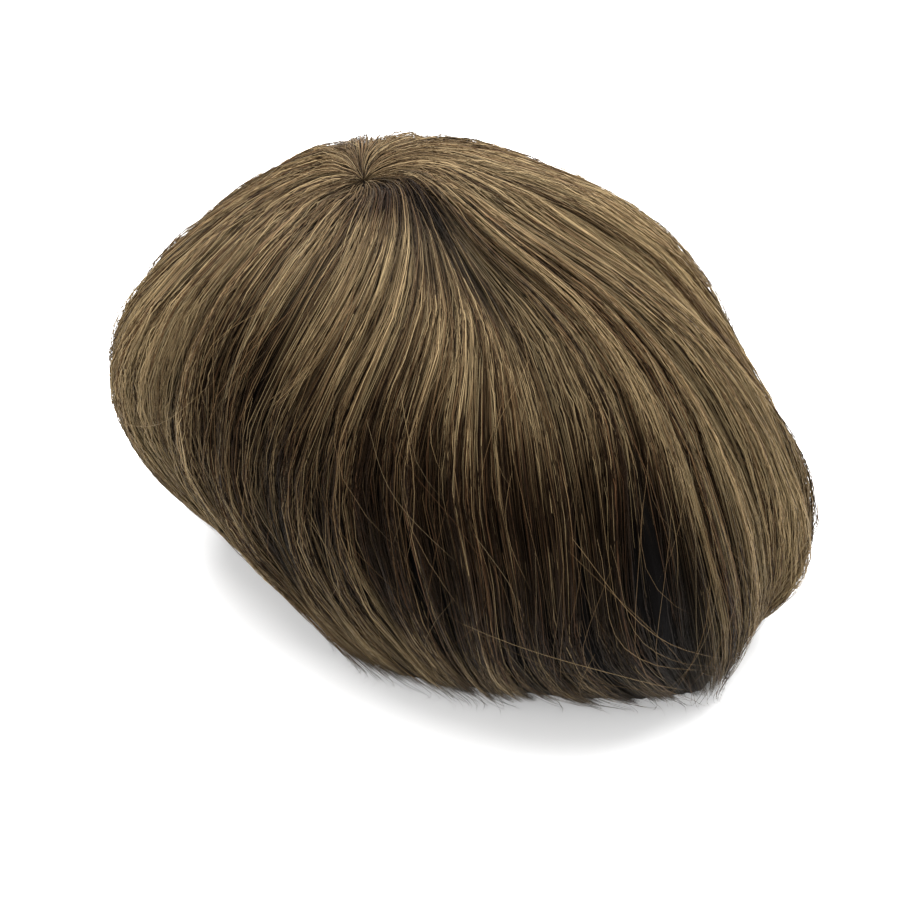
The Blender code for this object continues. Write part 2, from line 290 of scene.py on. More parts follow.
# How strands sway and cross, in degrees, and how their tones differ. The lower half of the hair
# has more contrast.
WAVE_TURNS = (0.3, 1.4)
SWAY = 0.3
CROSSING = 0.5
LOOSE_CROSSING = 3.5
MIDDLE_TONE = 0.50
WISP_TONE = 0.12
OWN_TONE = 0.32
LOWER_CONTRAST = 0.8

# Strands in the middle of the whorl: the hundredth of the arc where they are spread evenly, starts
# in metres, ends as shares of the arc, how deep they lie, their sway in degrees and how their tones
# differ
SWIRL_EVEN = 12
SWIRL_START = (0.0003, 0.022)
SWIRL_END = (0.10, 0.36)
SWIRL_LAYER = (-0.04, 0.35)
SWIRL_SWAY = 1.2
SWIRL_TONE = 0.18

# Depth in the hair at which painted shade starts to darken strands, and over how much they go fully
# dark
PAINTED_SHADE_FROM = 0.02
PAINTED_SHADE_OVER = 0.55

# Loose hairs: their middle tone and how it differs, by kind. Random ones: start and length as
# shares of the arc, how they turn away and bow in degrees, and how they arch and lift off the hair
# and their most, as shares of its thickness
NAMED_TONE = (0.52, 0.1)
STRAY_TONE = (0.50, 0.14)
HEM_TONE = (0.35, 0.14)
STRAY_START = (0.05, 0.8)
STRAY_LENGTH = (0.12, 0.5)
STRAY_TURN = 7
STRAY_BOW = 4
STRAY_ARCH = (1.2, 0.03)
STRAY_LIFT = (0.9, 0.05)
STRAY_REACH = 0.13

# Ends at the hem: start as a share of the arc, how far they curl out as a share of the hair's
# thickness, how they turn and spread in degrees, and how far they reach past the tips in metres
HEM_START = (0.80, 0.93)
HEM_CURL = (1.6, 0.08)
HEM_TURN = 5
HEM_SPREAD = 35
HEM_REACH = (0.004, 0.024)

# Under-layer: columns for each lock and rows, how deep it lies and how much deeper at the hem, its
# deepest place, how far above the tips its ragged edge ends, at least, beyond that at random, and
# where two sections meet, as shares of the arc, and how its columns differ in depth
UNDER_COLUMNS = 14
UNDER_ROWS = 60
UNDER_SUNK = 0.46
UNDER_HEM_SUNK = 0.30
UNDER_DEEPEST = 0.92
RAGGED = 0.004
RAGGED_SPREAD = 0.018
RAGGED_SEAM = 0.012
UNDER_FINE = 0.04

# Dome under the whorl: spokes and rings, its stretch of the arc, how deep its two sheets lie, its
# place along the hair for its colour and its shift of tone, which is painted shade
DOME_SPOKES = 48
DOME_RINGS = 12
DOME_ARC = (0.004, 0.09)
DOME_SUNK = 0.50
DOME_BOTTOM = 0.98
DOME_ALONG = 0.05
DOME_PAINTED_SHADE = -0.3

# Net base: spokes and rings
BASE_SPOKES = 120
BASE_RINGS = 44

# Stage: the camera's place round the piece, in degrees and metres, the height it looks at, its lens
# in millimetres, how far the picture is moved, in pixels of its width, and half the floor's width
CAMERA_BEARING = -60
CAMERA_RISE = 40
CAMERA_DISTANCE = 0.85
CAMERA_TARGET = 0.085
CAMERA_LENS = 80
CAMERA_SENSOR = 36
PICTURE_WIDTH = 900
PICTURE_SHIFT = (-12, -50)
LAMP_TARGET = 0.1
FLOOR_HALF = 4.0


def form_value(column, bearing, table=FORM):
    """One column of a table at any bearing: a cubic through its rows that closes on itself."""
    own = np.array([row["bearing"] for row in table], float)
    values = np.array([row[column] for row in table], float)
    angles = np.concatenate([own[-2:] - 360, own, own[:3] + 360])
    values = np.concatenate([values[-2:], values, values[:3]])
    slopes = np.zeros_like(values)
    slopes[1:-1] = (values[2:] - values[:-2]) / (angles[2:] - angles[:-2])
    at = np.asarray(bearing, float) % 360
    i = np.searchsorted(angles, at, side="right") - 1
    width = angles[i + 1] - angles[i]
    f = (at - angles[i]) / width
    return (
        (1 + 2 * f) * (1 - f) ** 2 * values[i]
        + f * (1 - f) ** 2 * width * slopes[i]
        + f * f * (3 - 2 * f) * values[i + 1]
        + f * f * (f - 1) * width * slopes[i + 1]
    )


def heading(bearing):
    """Unit vector in plan at a bearing: (sin, -cos)."""
    angle = np.radians(bearing)
    return np.stack([np.sin(angle), -np.cos(angle)], -1)


def oval(bearing, half_width, half_length):
    """Radius of a superellipse: (|sin/a|^p + |cos/b|^p)^(-1/p)."""
    angle = np.radians(bearing)
    across = np.abs(np.sin(angle) / half_width) ** OUTLINE_POWER
    along = np.abs(np.cos(angle) / half_length) ** OUTLINE_POWER
    return (across + along) ** (-1 / OUTLINE_POWER)


def belly_radius(bearing, inset):
    """Radius of the widest place: the plain oval times its reach, less the inset."""
    half_width = BASE_WIDTH / 2 + SPREAD_SIDES
    half_length = BASE_LENGTH / 2 + SPREAD_ENDS
    return oval(bearing, half_width, half_length) * form_value("reach", bearing) - inset


def crown_height(plan, inset):
    """Height of the crown: the belly plus the rise times sqrt(1 - s^full), its crest rounded."""
    x, y = plan[..., 0], plan[..., 1]
    bearing = np.degrees(np.arctan2(x, -y))
    share = np.clip(np.hypot(x, y) / belly_radius(bearing, inset), 0, 1)
    belly = form_value("belly", bearing) * CROWN_HEIGHT
    rise = CROWN_HEIGHT - inset - belly
    power = form_value("full", bearing)
    rounded = (share**2 + CREST_ROUNDING**2) ** (power / 2) - CREST_ROUNDING**power
    edge = (1 + CREST_ROUNDING**2) ** (power / 2) - CREST_ROUNDING**power
    return belly + rise * np.sqrt(1 - rounded / edge)


def swirled(plan):
    """Turns points round the whorl by an angle that fades with distance as exp(-(d/reach)^2)."""
    offset = plan - WHORL
    distance = np.linalg.norm(offset, axis=-1)
    turn = np.radians(SWIRL_TURN) * np.exp(-((distance / SWIRL_REACH) ** 2))
    x = offset[..., 0] * np.cos(turn) - offset[..., 1] * np.sin(turn)
    y = offset[..., 0] * np.sin(turn) + offset[..., 1] * np.cos(turn)
    return WHORL + np.stack([x, y], -1)


def crown_points(bearing, share, inset):
    """The whorl plus sin(share * 90 degrees) of the run to the widest place, at crown height. The
    outer surface has a dimple at the whorl."""
    run = heading(bearing) * belly_radius(bearing, inset)[..., None] - WHORL
    plan = swirled(WHORL + run * np.sin(np.pi / 2 * share)[..., None])
    height = crown_height(plan, inset)
    if inset == 0:
        distance = np.linalg.norm(plan - WHORL, axis=-1)
        height = height - DIMPLE_DEPTH * np.exp(-((distance / DIMPLE_RADIUS) ** 2))
    return np.concatenate([plan, height[..., None]], -1)


def hang_points(bearing, share, inset):
    """From the widest place down to the floor, tucked in by share^p and swept round by drift."""
    wall = inset * (1 + (TIP_WALL / HAIR_WALL - 1) * share)
    tuck = 1 - form_value("tuck", bearing) * share**HANG_POWER
    radius = belly_radius(bearing, 0) * tuck - wall
    height = form_value("belly", bearing) * CROWN_HEIGHT * (1 - share)
    swept = bearing + form_value("drift", bearing) * share**DRIFT_POWER
    return np.concatenate([heading(swept) * radius[..., None], height[..., None]], -1)


def fall_points(bearing, fall, inset):
    """Points on the fall of hair: the crown's part, then the hanging part."""
    crown = crown_points(bearing, np.clip(fall / CROWN_SHARE, 0, 1), inset)
    hang = hang_points(bearing, np.clip((fall - CROWN_SHARE) / (1 - CROWN_SHARE), 0, 1), inset)
    return np.where((fall < CROWN_SHARE)[..., None], crown, hang)


def hair_points(bearing, fall, sunk):
    """Points in the hair: the outer surface, moved towards the inner one by sunk."""
    bearing, fall, sunk = np.broadcast_arrays(bearing, fall, sunk)
    outer = fall_points(bearing, fall, 0.0)
    inner = fall_points(bearing, fall, HAIR_WALL)
    return MIDDLE + outer + (inner - outer) * sunk[..., None]


def smooth(x):
    """Smooth step from 0 at x = 0 to 1 at x = 1: 3x^2 - 2x^3."""
    x = np.clip(x, 0, 1)
    return x * x * (3 - 2 * x)


def valley_depth(bearing, fall):
    """Sum over VALLEYS of depth * exp(-(aside/width)^2) * sin^2 along its stretch."""
    depth = np.zeros(np.broadcast(bearing, fall).shape)
    for row in VALLEYS:
        aside = (bearing - row["bearing"] + 180) % 360 - 180
        along = np.clip((fall - row["from"]) / (row["to"] - row["from"]), 0, 1)
        depth += row["depth"] * np.exp(-((aside / row["width"]) ** 2)) * np.sin(np.pi * along) ** 2
    return depth


def lock_relief(section, bearing, fall):
    """How deep the lock relief lies: ridge * (1 - sin(pi * place in the lock)^squareness)."""
    place = (bearing - section["start"]) / (section["end"] - section["start"]) * section["locks"]
    crest = np.abs(np.sin(np.pi * place)) ** RIDGE_SQUARENESS
    ridge = RIDGE_DEPTH * (RIDGE_AT_WHORL + (1 - RIDGE_AT_WHORL) * np.sin(np.pi / 2 * fall))
    return ridge * (1 - crest) + valley_depth(bearing, fall)


def measured_falls():
    """Arc length of the fall at each whole bearing, and the fall at each hundredth of that arc."""
    bearings = np.arange(361.0)
    falls = np.linspace(0, 1, 181)
    points = hair_points(bearings[:, None], falls[None, :], 0.0)
    steps = np.linalg.norm(np.diff(points, axis=1), axis=-1)
    arcs = np.concatenate([np.zeros((361, 1)), np.cumsum(steps, axis=1)], axis=1)
    shares = np.linspace(0, 1, 101)
    inverse = np.array([np.interp(shares * row[-1], row, falls) for row in arcs])
    return arcs[:, -1], inverse


ARC_LENGTHS, FALL_AT_ARC = measured_falls()


def arc_length(bearing):
    """Length of the hair's surface from the whorl to the tips at a bearing."""
    return np.interp(np.asarray(bearing) % 360, np.arange(361.0), ARC_LENGTHS)


def read_grid(grid, bearing, arc):
    """A table of whole bearings by hundredths of the arc, read between its four nearest places."""
    turn = np.asarray(bearing) % 360
    hundredths = np.clip(arc, 0, 1) * 100
    row = np.clip(np.floor(turn).astype(int), 0, 359)
    column = np.clip(np.floor(hundredths).astype(int), 0, 99)
    down, across = turn - row, hundredths - column
    near = grid[row, column] * (1 - across) + grid[row, column + 1] * across
    far = grid[row + 1, column] * (1 - across) + grid[row + 1, column + 1] * across
    return near * (1 - down) + far * down


def fall_at(bearing, arc):
    """The fall at a share of the arc length."""
    return read_grid(FALL_AT_ARC, bearing, arc)


def lean_table():
    """Lean of the strands at each whole bearing and each hundredth of the arc: LEAN's columns
    joined by straight lines along the arc."""
    bearings = np.arange(361.0)
    places = np.array(list(LEAN_ARCS.values()))
    columns = np.array([form_value(name, bearings, LEAN) for name in LEAN_ARCS])
    arcs = np.linspace(0, 1, 101)
    i = np.clip(np.searchsorted(places, arcs, side="right") - 1, 0, len(places) - 2)
    f = np.clip((arcs - places[i]) / (places[i + 1] - places[i]), 0, 1)
    return (columns[i] * (1 - f)[:, None] + columns[i + 1] * f[:, None]).T


def flow_table():
    """Bearing of the strand that crosses the belly at each whole bearing, at each hundredth of the
    arc, less that bearing: steps along the lean, outwards and back from the belly."""
    lean = lean_table()
    bearings = np.arange(361.0)
    paths = np.tile(bearings, (101, 1))
    middle = round(BELLY_ARC * 100)
    for step, places in ((1, range(middle, 100)), (-1, range(middle, 0, -1))):
        for place in places:
            here = paths[place]
            first = np.interp(here % 360, bearings, lean[:, place])
            half = np.interp((here + step * first * 0.005) % 360, bearings, lean[:, place + step])
            paths[place + step] = here + step * (first + half) / 2 * 0.01
    return (paths - bearings).T


FLOW = flow_table()


def flow_bearing(bearing, arc):
    """Bearing along the strand that crosses the belly at a bearing."""
    return bearing + read_grid(FLOW, bearing, arc)


def parting_reach(row, bearing, arc):
    """Place beside a parting as a share of its width, and its strength there: exp(-aside^2) times
    sin^2 along its stretch."""
    along = np.clip((arc - row["from"]) / (row["to"] - row["from"]), 0, 1)
    line = row["start"] + (row["end"] - row["start"]) * along
    aside = ((bearing - line + 180) % 360 - 180) / row["width"]
    return aside, np.exp(-(aside**2)) * np.sin(np.pi * along) ** 2


def parted(bearing, arc):
    """Strand bearings moved apart beside each parting, by push * aside * reach."""
    moved = bearing + 0 * arc
    for row in PARTINGS:
        aside, reach = parting_reach(row, bearing, arc)
        moved = moved + row["push"] * aside * reach
    return moved


def parting_sum(column, bearing, arc):
    """Sum of a column of PARTINGS times each parting's reach, at strand bearings."""
    total = np.zeros(np.broadcast(bearing, arc).shape)
    for row in PARTINGS:
        total += row[column] * parting_reach(row, bearing, arc)[1]
    return total


def painted_light_and_tone_shift(bearing, arc):
    """Painted shade and painted light, with some darker and lighter locks: a sum of
    shift * exp(-(aside/width)^2 - ((arc - place)/spread)^4) over the table's rows.
    """
    shift = np.zeros(np.broadcast(bearing, arc).shape)
    for row in PAINTED_LIGHT_AND_TONES:
        aside = (bearing - row["bearing"] + 180) % 360 - 180
        off = ((arc - row["arc"]) / row["spread"]) ** 4
        shift += row["shift"] * np.exp(-((aside / row["width"]) ** 2) - off)
    return shift


def belly_arc(start, end):
    """Bearings and running length round the widest place, from start to end."""
    bearings = np.linspace(start, end, 200)
    points = heading(bearings) * belly_radius(bearings, 0)[:, None]
    steps = np.linalg.norm(np.diff(points, axis=0), axis=-1)
    return bearings, np.concatenate([[0], np.cumsum(steps)])


def new_piece(name, points, faces, corner_maps, values, replaced=()):
    """Makes a mesh piece from arrays of points and triangles, with UV maps and point values."""
    mesh = bpy.data.meshes.new(name)
    mesh.vertices.add(len(points))
    mesh.vertices.foreach_set("co", np.ascontiguousarray(points, np.float32).ravel())
    mesh.loops.add(faces.size)
    mesh.loops.foreach_set("vertex_index", np.ascontiguousarray(faces, np.int32).ravel())
    mesh.polygons.add(len(faces))
    mesh.polygons.foreach_set("loop_start", np.arange(0, faces.size, 3, dtype=np.int32))
    mesh.update(calc_edges=True)
    mesh.shade_smooth()
    for label, corners in corner_maps.items():
        layer = mesh.uv_layers.new(name=label)
        layer.data.foreach_set("uv", np.ascontiguousarray(corners, np.float32).ravel())
    for label, numbers in values.items():
        attribute = mesh.attributes.new(label, "FLOAT", "POINT")
        attribute.data.foreach_set("value", np.ascontiguousarray(numbers, np.float32).ravel())
    piece = bpy.data.objects.new(name, mesh)
    bpy.context.scene.collection.objects.link(piece)
    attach(piece, "root")
    if replaced:
        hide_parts(*replaced)
    return piece


def strand_template(rings):
    """Triangles of one strand, and where each of their corners lies in the strand's own UV cell."""
    faces, corners = [], []
    sides = STRAND_SIDES
    tip = rings * sides
    for ring in range(rings):
        low, high = ring / rings, (ring + 1) / rings
        for side in range(sides):
            left, right = side / sides, (side + 1) / sides
            a = ring * sides + side
            b = ring * sides + (side + 1) % sides
            if ring == rings - 1:
                faces.append((a, b, tip))
                corners.append(((left, low), (right, low), ((left + right) / 2, high)))
                continue
            faces += [(a, b, b + sides), (a, b + sides, a + sides)]
            corners += [
                ((left, low), (right, low), (right, high)),
                ((left, low), (right, high), (left, high)),
            ]
    faces.append((0, 2, 1))
    corners.append(((0.0, -0.06), (0.5, -0.02), (1.0, -0.06)))
    return np.array(faces, np.int32), np.array(corners)


def tubes(paths, radius, roll):
    """Three-sided tubes along paths: each ring is path + r(cos a * side + sin a * up), with a
    single point at the tip."""
    forward = np.gradient(paths, axis=1)
    forward /= np.linalg.norm(forward, axis=-1, keepdims=True) + 1e-12
    outward = paths - (MIDDLE + np.array([0, 0, CROWN_HEIGHT * OUTWARD_FROM]))
    side = np.cross(outward, forward)
    side /= np.linalg.norm(side, axis=-1, keepdims=True) + 1e-12
    up = np.cross(forward, side)
    angles = roll[:, None] + np.arange(STRAND_SIDES) * 2 * np.pi / STRAND_SIDES
    turned = (
        np.cos(angles)[:, None, :, None] * side[:, :-1, None, :]
        + np.sin(angles)[:, None, :, None] * up[:, :-1, None, :]
    )
    rings = paths[:, :-1, None, :] + radius[:, :-1, None, None] * turned
    return np.concatenate([rings.reshape(len(paths), -1, 3), paths[:, -1:, :]], axis=1)


def ring_values(numbers):
    """Spreads a value for each ring and the tip over the vertices of each strand's tube."""
    rings = np.repeat(numbers[:, :-1], STRAND_SIDES, axis=1)
    return np.concatenate([rings, numbers[:, -1:]], axis=1)


def strand_piece(name, groups, replaced=()):
    """Joins groups of strands into one mesh. Each strand has its own cell in the bake's map."""
    total = sum(len(group["paths"]) for group in groups)
    across = int(np.ceil(np.sqrt(total)))
    points, faces, bake = [], [], []
    values = {label: [] for label in ("tone", "tint", "along", "depth")}
    vertices = strands = 0
    for group in groups:
        paths = group["paths"]
        count, steps = paths.shape[:2]
        tube = tubes(paths, group["radius"], group["roll"])
        own_faces, own_corners = strand_template(steps - 1)
        first = vertices + np.arange(count) * tube.shape[1]
        points.append(tube.reshape(-1, 3))
        faces.append((own_faces[None] + first[:, None, None]).reshape(-1, 3))
        number = strands + np.arange(count)
        cell = np.stack([number % across, number // across], -1)
        inside = CELL_MARGIN + (1 - 2 * CELL_MARGIN) * own_corners
        bake.append(((cell[:, None, None, :] + inside[None]) / across).reshape(-1, 2))
        for label in values:
            numbers = np.broadcast_to(group[label].reshape(count, -1), (count, steps))
            values[label].append(ring_values(numbers).ravel())
        vertices += tube.shape[1] * count
        strands += count
    values = {label: np.concatenate(numbers) for label, numbers in values.items()}
    maps = {"OFBake": np.concatenate(bake)}
    points, faces = np.concatenate(points), np.concatenate(faces)
    return new_piece(name, points, faces, maps, values, replaced)


def tapered(thickness, count, steps, rng, tip):
    """Radius along each strand: thin at the root, full from there, and falling to a fine tip."""
    t = np.linspace(0, 1, steps)
    root = ROOT_WIDTH + (1 - ROOT_WIDTH) * smooth(t / ROOT_TAPER)
    profile = root * (1 - (1 - tip) * smooth((t - TIP_TAPER) / (1 - TIP_TAPER)))
    own = thickness / 2 * rng.uniform(*WIDTH_SPREAD, count)
    return own[:, None] * profile[None]


def lifted(paths):
    """Keeps points off the floor."""
    paths[..., 2] = np.maximum(paths[..., 2], FLOOR_GAP)
    return paths


def section_at(bearing):
    """Number of the section that holds each bearing."""
    turn = (np.asarray(bearing) - SECTIONS[0]["start"]) % 360 + SECTIONS[0]["start"]
    starts = np.array([section["start"] for section in SECTIONS])
    return np.searchsorted(starts, turn, side="right") - 1


def locks_relief(bearing, fall):
    """The lock relief of whichever section each bearing lies in."""
    number = section_at(bearing)
    relief = np.zeros(np.broadcast(bearing, fall).shape)
    for index, section in enumerate(SECTIONS):
        own = (bearing - section["start"]) % 360 + section["start"]
        relief = np.where(number == index, lock_relief(section, own, fall), relief)
    return relief


def grouped(rng, place, groups):
    """Splits places from 0 to 1 into uneven groups: each one's group, its place across the group
    from -1 to 1, and the group's middle."""
    edges = np.linspace(0, 1, groups + 1)
    edges[1:-1] += rng.uniform(-SHUFFLE, SHUFFLE, groups - 1) / groups
    group = np.clip(np.searchsorted(edges, place, side="right") - 1, 0, groups - 1)
    aside = (place - edges[group]) / (edges[group + 1] - edges[group]) * 2 - 1
    return group, np.clip(aside, -1, 1), (edges[group] + edges[group + 1]) / 2


def uneven_steps(rng, count, rings):
    """Places of each strand's rings from 0 to 1, the inner ones moved a little, so that the strands
    don't bend at the same places."""
    t = np.tile(np.linspace(0, 1, rings + 1), (count, 1))
    t[:, 1:-1] += rng.uniform(-SHUFFLE, SHUFFLE, (count, rings - 1)) / rings
    return t


def waves(rng, count, t, size):
    """A small sway along each strand: a sine of its own length and start."""
    turns = rng.uniform(*WAVE_TURNS, (count, 1)) * t + rng.uniform(0, 2, (count, 1))
    return rng.normal(0, size, (count, 1)) * np.sin(np.pi * turns)


def along_flow(own, arc):
    """Bearings and falls of strands that follow the flow, opened at the partings, and the shift of
    tone: painted shade and painted light, with some darker and lighter locks, and painted shade at
    the partings. own has their bearings at the belly."""
    bearing = flow_bearing(parted(own, arc), arc)
    # Painted shade and light from the patch table, less the painted shade of the partings
    shade = painted_light_and_tone_shift(bearing, arc) - parting_sum("dark", own, arc)
    return bearing, fall_at(bearing, arc), shade


def strand_group(paths, thickness, tip, tone, along, depth, rng):
    """Strands as strand_piece takes them: their paths, and the radius, roll, tone, tint, place
    along the hair and depth of each."""
    count, steps = paths.shape[:2]
    return {
        "paths": paths,
        "radius": tapered(thickness, count, steps, rng, tip),
        "roll": rng.uniform(0, 2 * np.pi, count),
        "tone": np.clip(tone, 0, 1),
        "tint": rng.random(count),
        "along": along,
        "depth": depth,
    }


def painted_depth_shade(sunk):
    """How far painted shade darkens strands with depth, from 0 to 1."""
    return np.clip((sunk - PAINTED_SHADE_FROM) / PAINTED_SHADE_OVER, 0, 1)


def strand_paths(chosen, rings, strands, tufts, rng, sizes):
    """The chosen strands, along the flow. Each closes on its tuft's middle towards its tip, rises
    out of the hair at its root, and sways a little. Those that fade sink back into the hair at
    their tips. The lower the hair, the more its strands differ in tone."""
    bearing, start, end, layer, tuft, aside, tuft_bearing, fades = (
        strands[name][chosen]
        for name in ("bearing", "start", "end", "layer", "tuft", "aside", "tuft_bearing", "fades")
    )
    count = len(bearing)
    t = uneven_steps(rng, count, rings)
    arc = start[:, None] + (end - start)[:, None] * t
    pinch = tufts["pinch"][tuft][:, None] * smooth((arc - 0.50) / 0.5)
    crossing = np.where(rng.random((count, 1)) < sizes.loose_share, LOOSE_CROSSING, CROSSING)
    own = (
        bearing[:, None]
        + (tuft_bearing - bearing)[:, None] * pinch
        + waves(rng, count, t, SWAY) * smooth(arc / 0.3)
        + tufts["sway"][tuft][:, None] * smooth((arc - 0.45) / 0.55)
        + rng.normal(0, 1, (count, 1)) * crossing * t * smooth((arc - 0.1) / 0.4)
    )
    path_bearing, fall, shade = along_flow(own, arc)
    sunk = (
        (layer + tufts["layer"][tuft] + TUFT_EDGE * aside**2)[:, None]
        + ROOT_SUNK * (1 - smooth(t / 0.12))
        + np.where(fades[:, None], FADED_SUNK * smooth((t - 0.6) / 0.4), 0)
        + locks_relief(path_bearing, fall)
        + parting_sum("deep", own, arc)
    )
    wisps = rng.normal(0, 1, count // sizes.wisp + 2)[np.arange(count) // sizes.wisp]
    own_tone = WISP_TONE * wisps + OWN_TONE * rng.normal(0, 1, count) + tufts["tone"][tuft]
    contrast = 1 + LOWER_CONTRAST * smooth((arc - 0.40) / 0.35)
    # Painted shade and light: shade shifts the tone, and deeper strands are darkened by their depth
    # value
    tone = MIDDLE_TONE + own_tone[:, None] * contrast + shade
    paths = lifted(hair_points(path_bearing, fall, sunk))
    return strand_group(paths, sizes.strand_thickness, STRAND_TIP, tone, arc, painted_depth_shade(sunk), rng)


def section_strands(section, rng, sizes):
    """Strands that cross a section's belly: half of them start near the whorl, and the others
    further down, out of the net under the hair above."""
    bearings, running = belly_arc(section["start"], section["end"])
    span = running[-1]
    count = int(span * 1000 * section["strands"] * sizes.density)
    place = np.sort(rng.uniform(0, 1, count))
    bearing = np.interp(place, running / span, bearings)
    groups = max(3, int(span / sizes.tuft_width))
    tuft, aside, middle = grouped(rng, place, groups)
    tufts = {
        "pinch": rng.uniform(*TUFT_PINCH, groups),
        "sway": rng.normal(0, TUFT_SWAY, groups),
        "layer": rng.uniform(*TUFT_LAYER, groups),
        "tone": rng.normal(0, TUFT_TONE, groups),
        "cut": rng.gamma(*TUFT_CUT, groups),
    }
    length = arc_length(bearing)
    is_long = rng.random(count) < sizes.long_share
    long_start = rng.uniform(*LONG_START, count) / length
    start = np.where(is_long, long_start, rng.uniform(*SHORT_START, count) ** 1.1)
    end = 1 - rng.gamma(*END_CUT, count) / length - tufts["cut"][tuft]
    fades = is_long & (rng.random(count) < FADING_SHARE)
    end = np.where(fades, rng.uniform(*FADING_END, count), end)
    strands = {
        "bearing": bearing,
        "start": start,
        "end": end,
        "fades": fades,
        "tuft": tuft,
        "aside": aside,
        "tuft_bearing": np.interp(middle, running / span, bearings),
        "layer": rng.uniform(0, 1, count) ** 1.2 * LAYER,
    }
    return [
        strand_paths(chosen, rings, strands, tufts, rng, sizes)
        for chosen, rings in ((is_long, LONG_RINGS), (~is_long, SHORT_RINGS))
    ]


def swirl_strands(rng, sizes):
    """Short strands that spread from the middle of the whorl along the flow."""
    count = sizes.swirl_count
    bearings = np.arange(361.0)
    near_whorl = bearings + FLOW[:, SWIRL_EVEN]
    bearing = np.interp(near_whorl[0] + rng.uniform(0, 360, count), near_whorl, bearings)
    start = rng.uniform(*SWIRL_START, count) / arc_length(bearing)
    end = rng.uniform(*SWIRL_END, count)
    t = np.linspace(0, 1, SHORT_RINGS + 2)[None]
    arc = start[:, None] + (end - start)[:, None] * t**1.4
    own = bearing[:, None] + waves(rng, count, t, SWIRL_SWAY)
    path_bearing, fall, shade = along_flow(own, arc)
    layer = rng.uniform(*SWIRL_LAYER, count)[:, None]
    lift = 0.2 * (1 - smooth(t / 0.2)) + 0.4 * smooth((t - 0.55) / 0.45)
    sunk = layer + lift + locks_relief(path_bearing, fall)
    # Painted shade and light: shade shifts the tone, and deeper strands are darkened by their depth
    # value
    tone = MIDDLE_TONE + rng.normal(0, SWIRL_TONE, count)[:, None] + shade
    paths = hair_points(path_bearing, fall, sunk)
    return [strand_group(paths, sizes.strand_thickness, STRAND_TIP, tone, arc, painted_depth_shade(sunk), rng)]


def curve_through(points, steps):
    """Points along a smooth curve through rows of values: a cubic at even spacing of the rows."""
    rows = np.concatenate([2 * points[:1] - points[1:2], points, 2 * points[-1:] - points[-2:-1]])
    at = np.linspace(0, len(points) - 1, steps)
    i = np.clip(np.floor(at).astype(int), 0, len(points) - 2)
    f = (at - i)[:, None]
    a, b, c, d = rows[i], rows[i + 1], rows[i + 2], rows[i + 3]
    square = 2 * a - 5 * b + 4 * c - d
    cube = 3 * b - a - 3 * c + d
    return 0.5 * (2 * b + (c - a) * f + square * f**2 + cube * f**3)


def named_strays(rng, sizes):
    """Loose hairs at the places in STRAYS: smooth curves from a bearing, arc and height over the
    hair at the start, through the middle, to the end, with a few beside each one."""
    paths, tones = [], []
    for row in STRAYS:
        start = np.array(row["from"], float)
        end = np.array(row["to"], float)
        middle = (start + end) / 2 + np.array([row["bow"], 0, row["lift"]])
        for _ in range(row["count"]):
            spread = rng.normal(0, 1, (3, 3)) * np.array([row["spread"], 0.006, 0.01])
            curve = curve_through(np.stack([start, middle, end]) + spread, LONG_RINGS + 1)
            bearing, arc = curve[:, 0], curve[:, 1]
            over = -curve[:, 2] / (HAIR_WALL * 1000)
            paths.append(hair_points(bearing, fall_at(bearing, arc), over))
            tones.append(NAMED_TONE[0] + rng.normal(0, NAMED_TONE[1]))
    return stray_group(np.array(paths), np.array(tones), rng, sizes)


def stray_group(paths, tones, rng, sizes):
    """Fine loose hairs along paths, of the given tones."""
    count, steps = paths.shape[:2]
    along = np.broadcast_to(np.linspace(0.3, 0.9, steps), (count, steps))
    thickness = sizes.stray_thickness
    return strand_group(lifted(paths), thickness, STRAY_TIP, tones, along, np.zeros(count), rng)


def random_strays(rng, sizes):
    """Loose hairs anywhere over the hair: they leave the flow by a few degrees and stand off the
    surface in a low arch."""
    count = sizes.stray_count
    bearing = rng.uniform(0, 360, count)
    start = rng.uniform(*STRAY_START, count)
    end = np.minimum(start + rng.uniform(*STRAY_LENGTH, count), 1.0)
    t = np.linspace(0, 1, SHORT_RINGS + 1)[None]
    arc = start[:, None] + (end - start)[:, None] * t
    turn = rng.normal(0, STRAY_TURN, (count, 1)) * t
    turn = turn + rng.normal(0, STRAY_BOW, (count, 1)) * np.sin(np.pi * t)
    path_bearing = flow_bearing(bearing[:, None] + turn * smooth(arc / 0.5), arc)
    arch = rng.gamma(*STRAY_ARCH, (count, 1)) * np.sin(np.pi * t)
    arch = arch + rng.gamma(*STRAY_LIFT, (count, 1)) * t**2
    sunk = 0.10 * (1 - t) - np.minimum(arch, STRAY_REACH)
    paths = hair_points(path_bearing, fall_at(path_bearing, arc), sunk)
    tones = STRAY_TONE[0] + rng.normal(0, STRAY_TONE[1], count)
    return stray_group(paths, tones, rng, sizes)


def hem_strays(rng, sizes):
    """Fine ends that leave the tips and curl out, some over the floor."""
    count = sizes.hem_count
    bearing = rng.uniform(0, 360, count)
    t = np.linspace(0, 1, SHORT_RINGS + 1)[None]
    start = rng.uniform(*HEM_START, (count, 1))
    arc = start + (1 - start) * np.minimum(t * 1.25, 1)
    out = rng.gamma(*HEM_CURL, (count, 1)) * t**2
    turn = rng.normal(0, HEM_TURN, (count, 1)) * t
    path_bearing = flow_bearing(bearing[:, None] + turn, arc)
    paths = hair_points(path_bearing, fall_at(path_bearing, arc), 0.1 - out)
    beyond = np.maximum(t * 1.25 - 1, 0) * rng.uniform(*HEM_REACH, (count, 1))
    aim = path_bearing + rng.normal(0, HEM_SPREAD, (count, 1))
    paths[..., :2] += heading(aim) * beyond[..., None]
    tones = HEM_TONE[0] + rng.normal(0, HEM_TONE[1], count)
    return stray_group(paths, tones, rng, sizes)


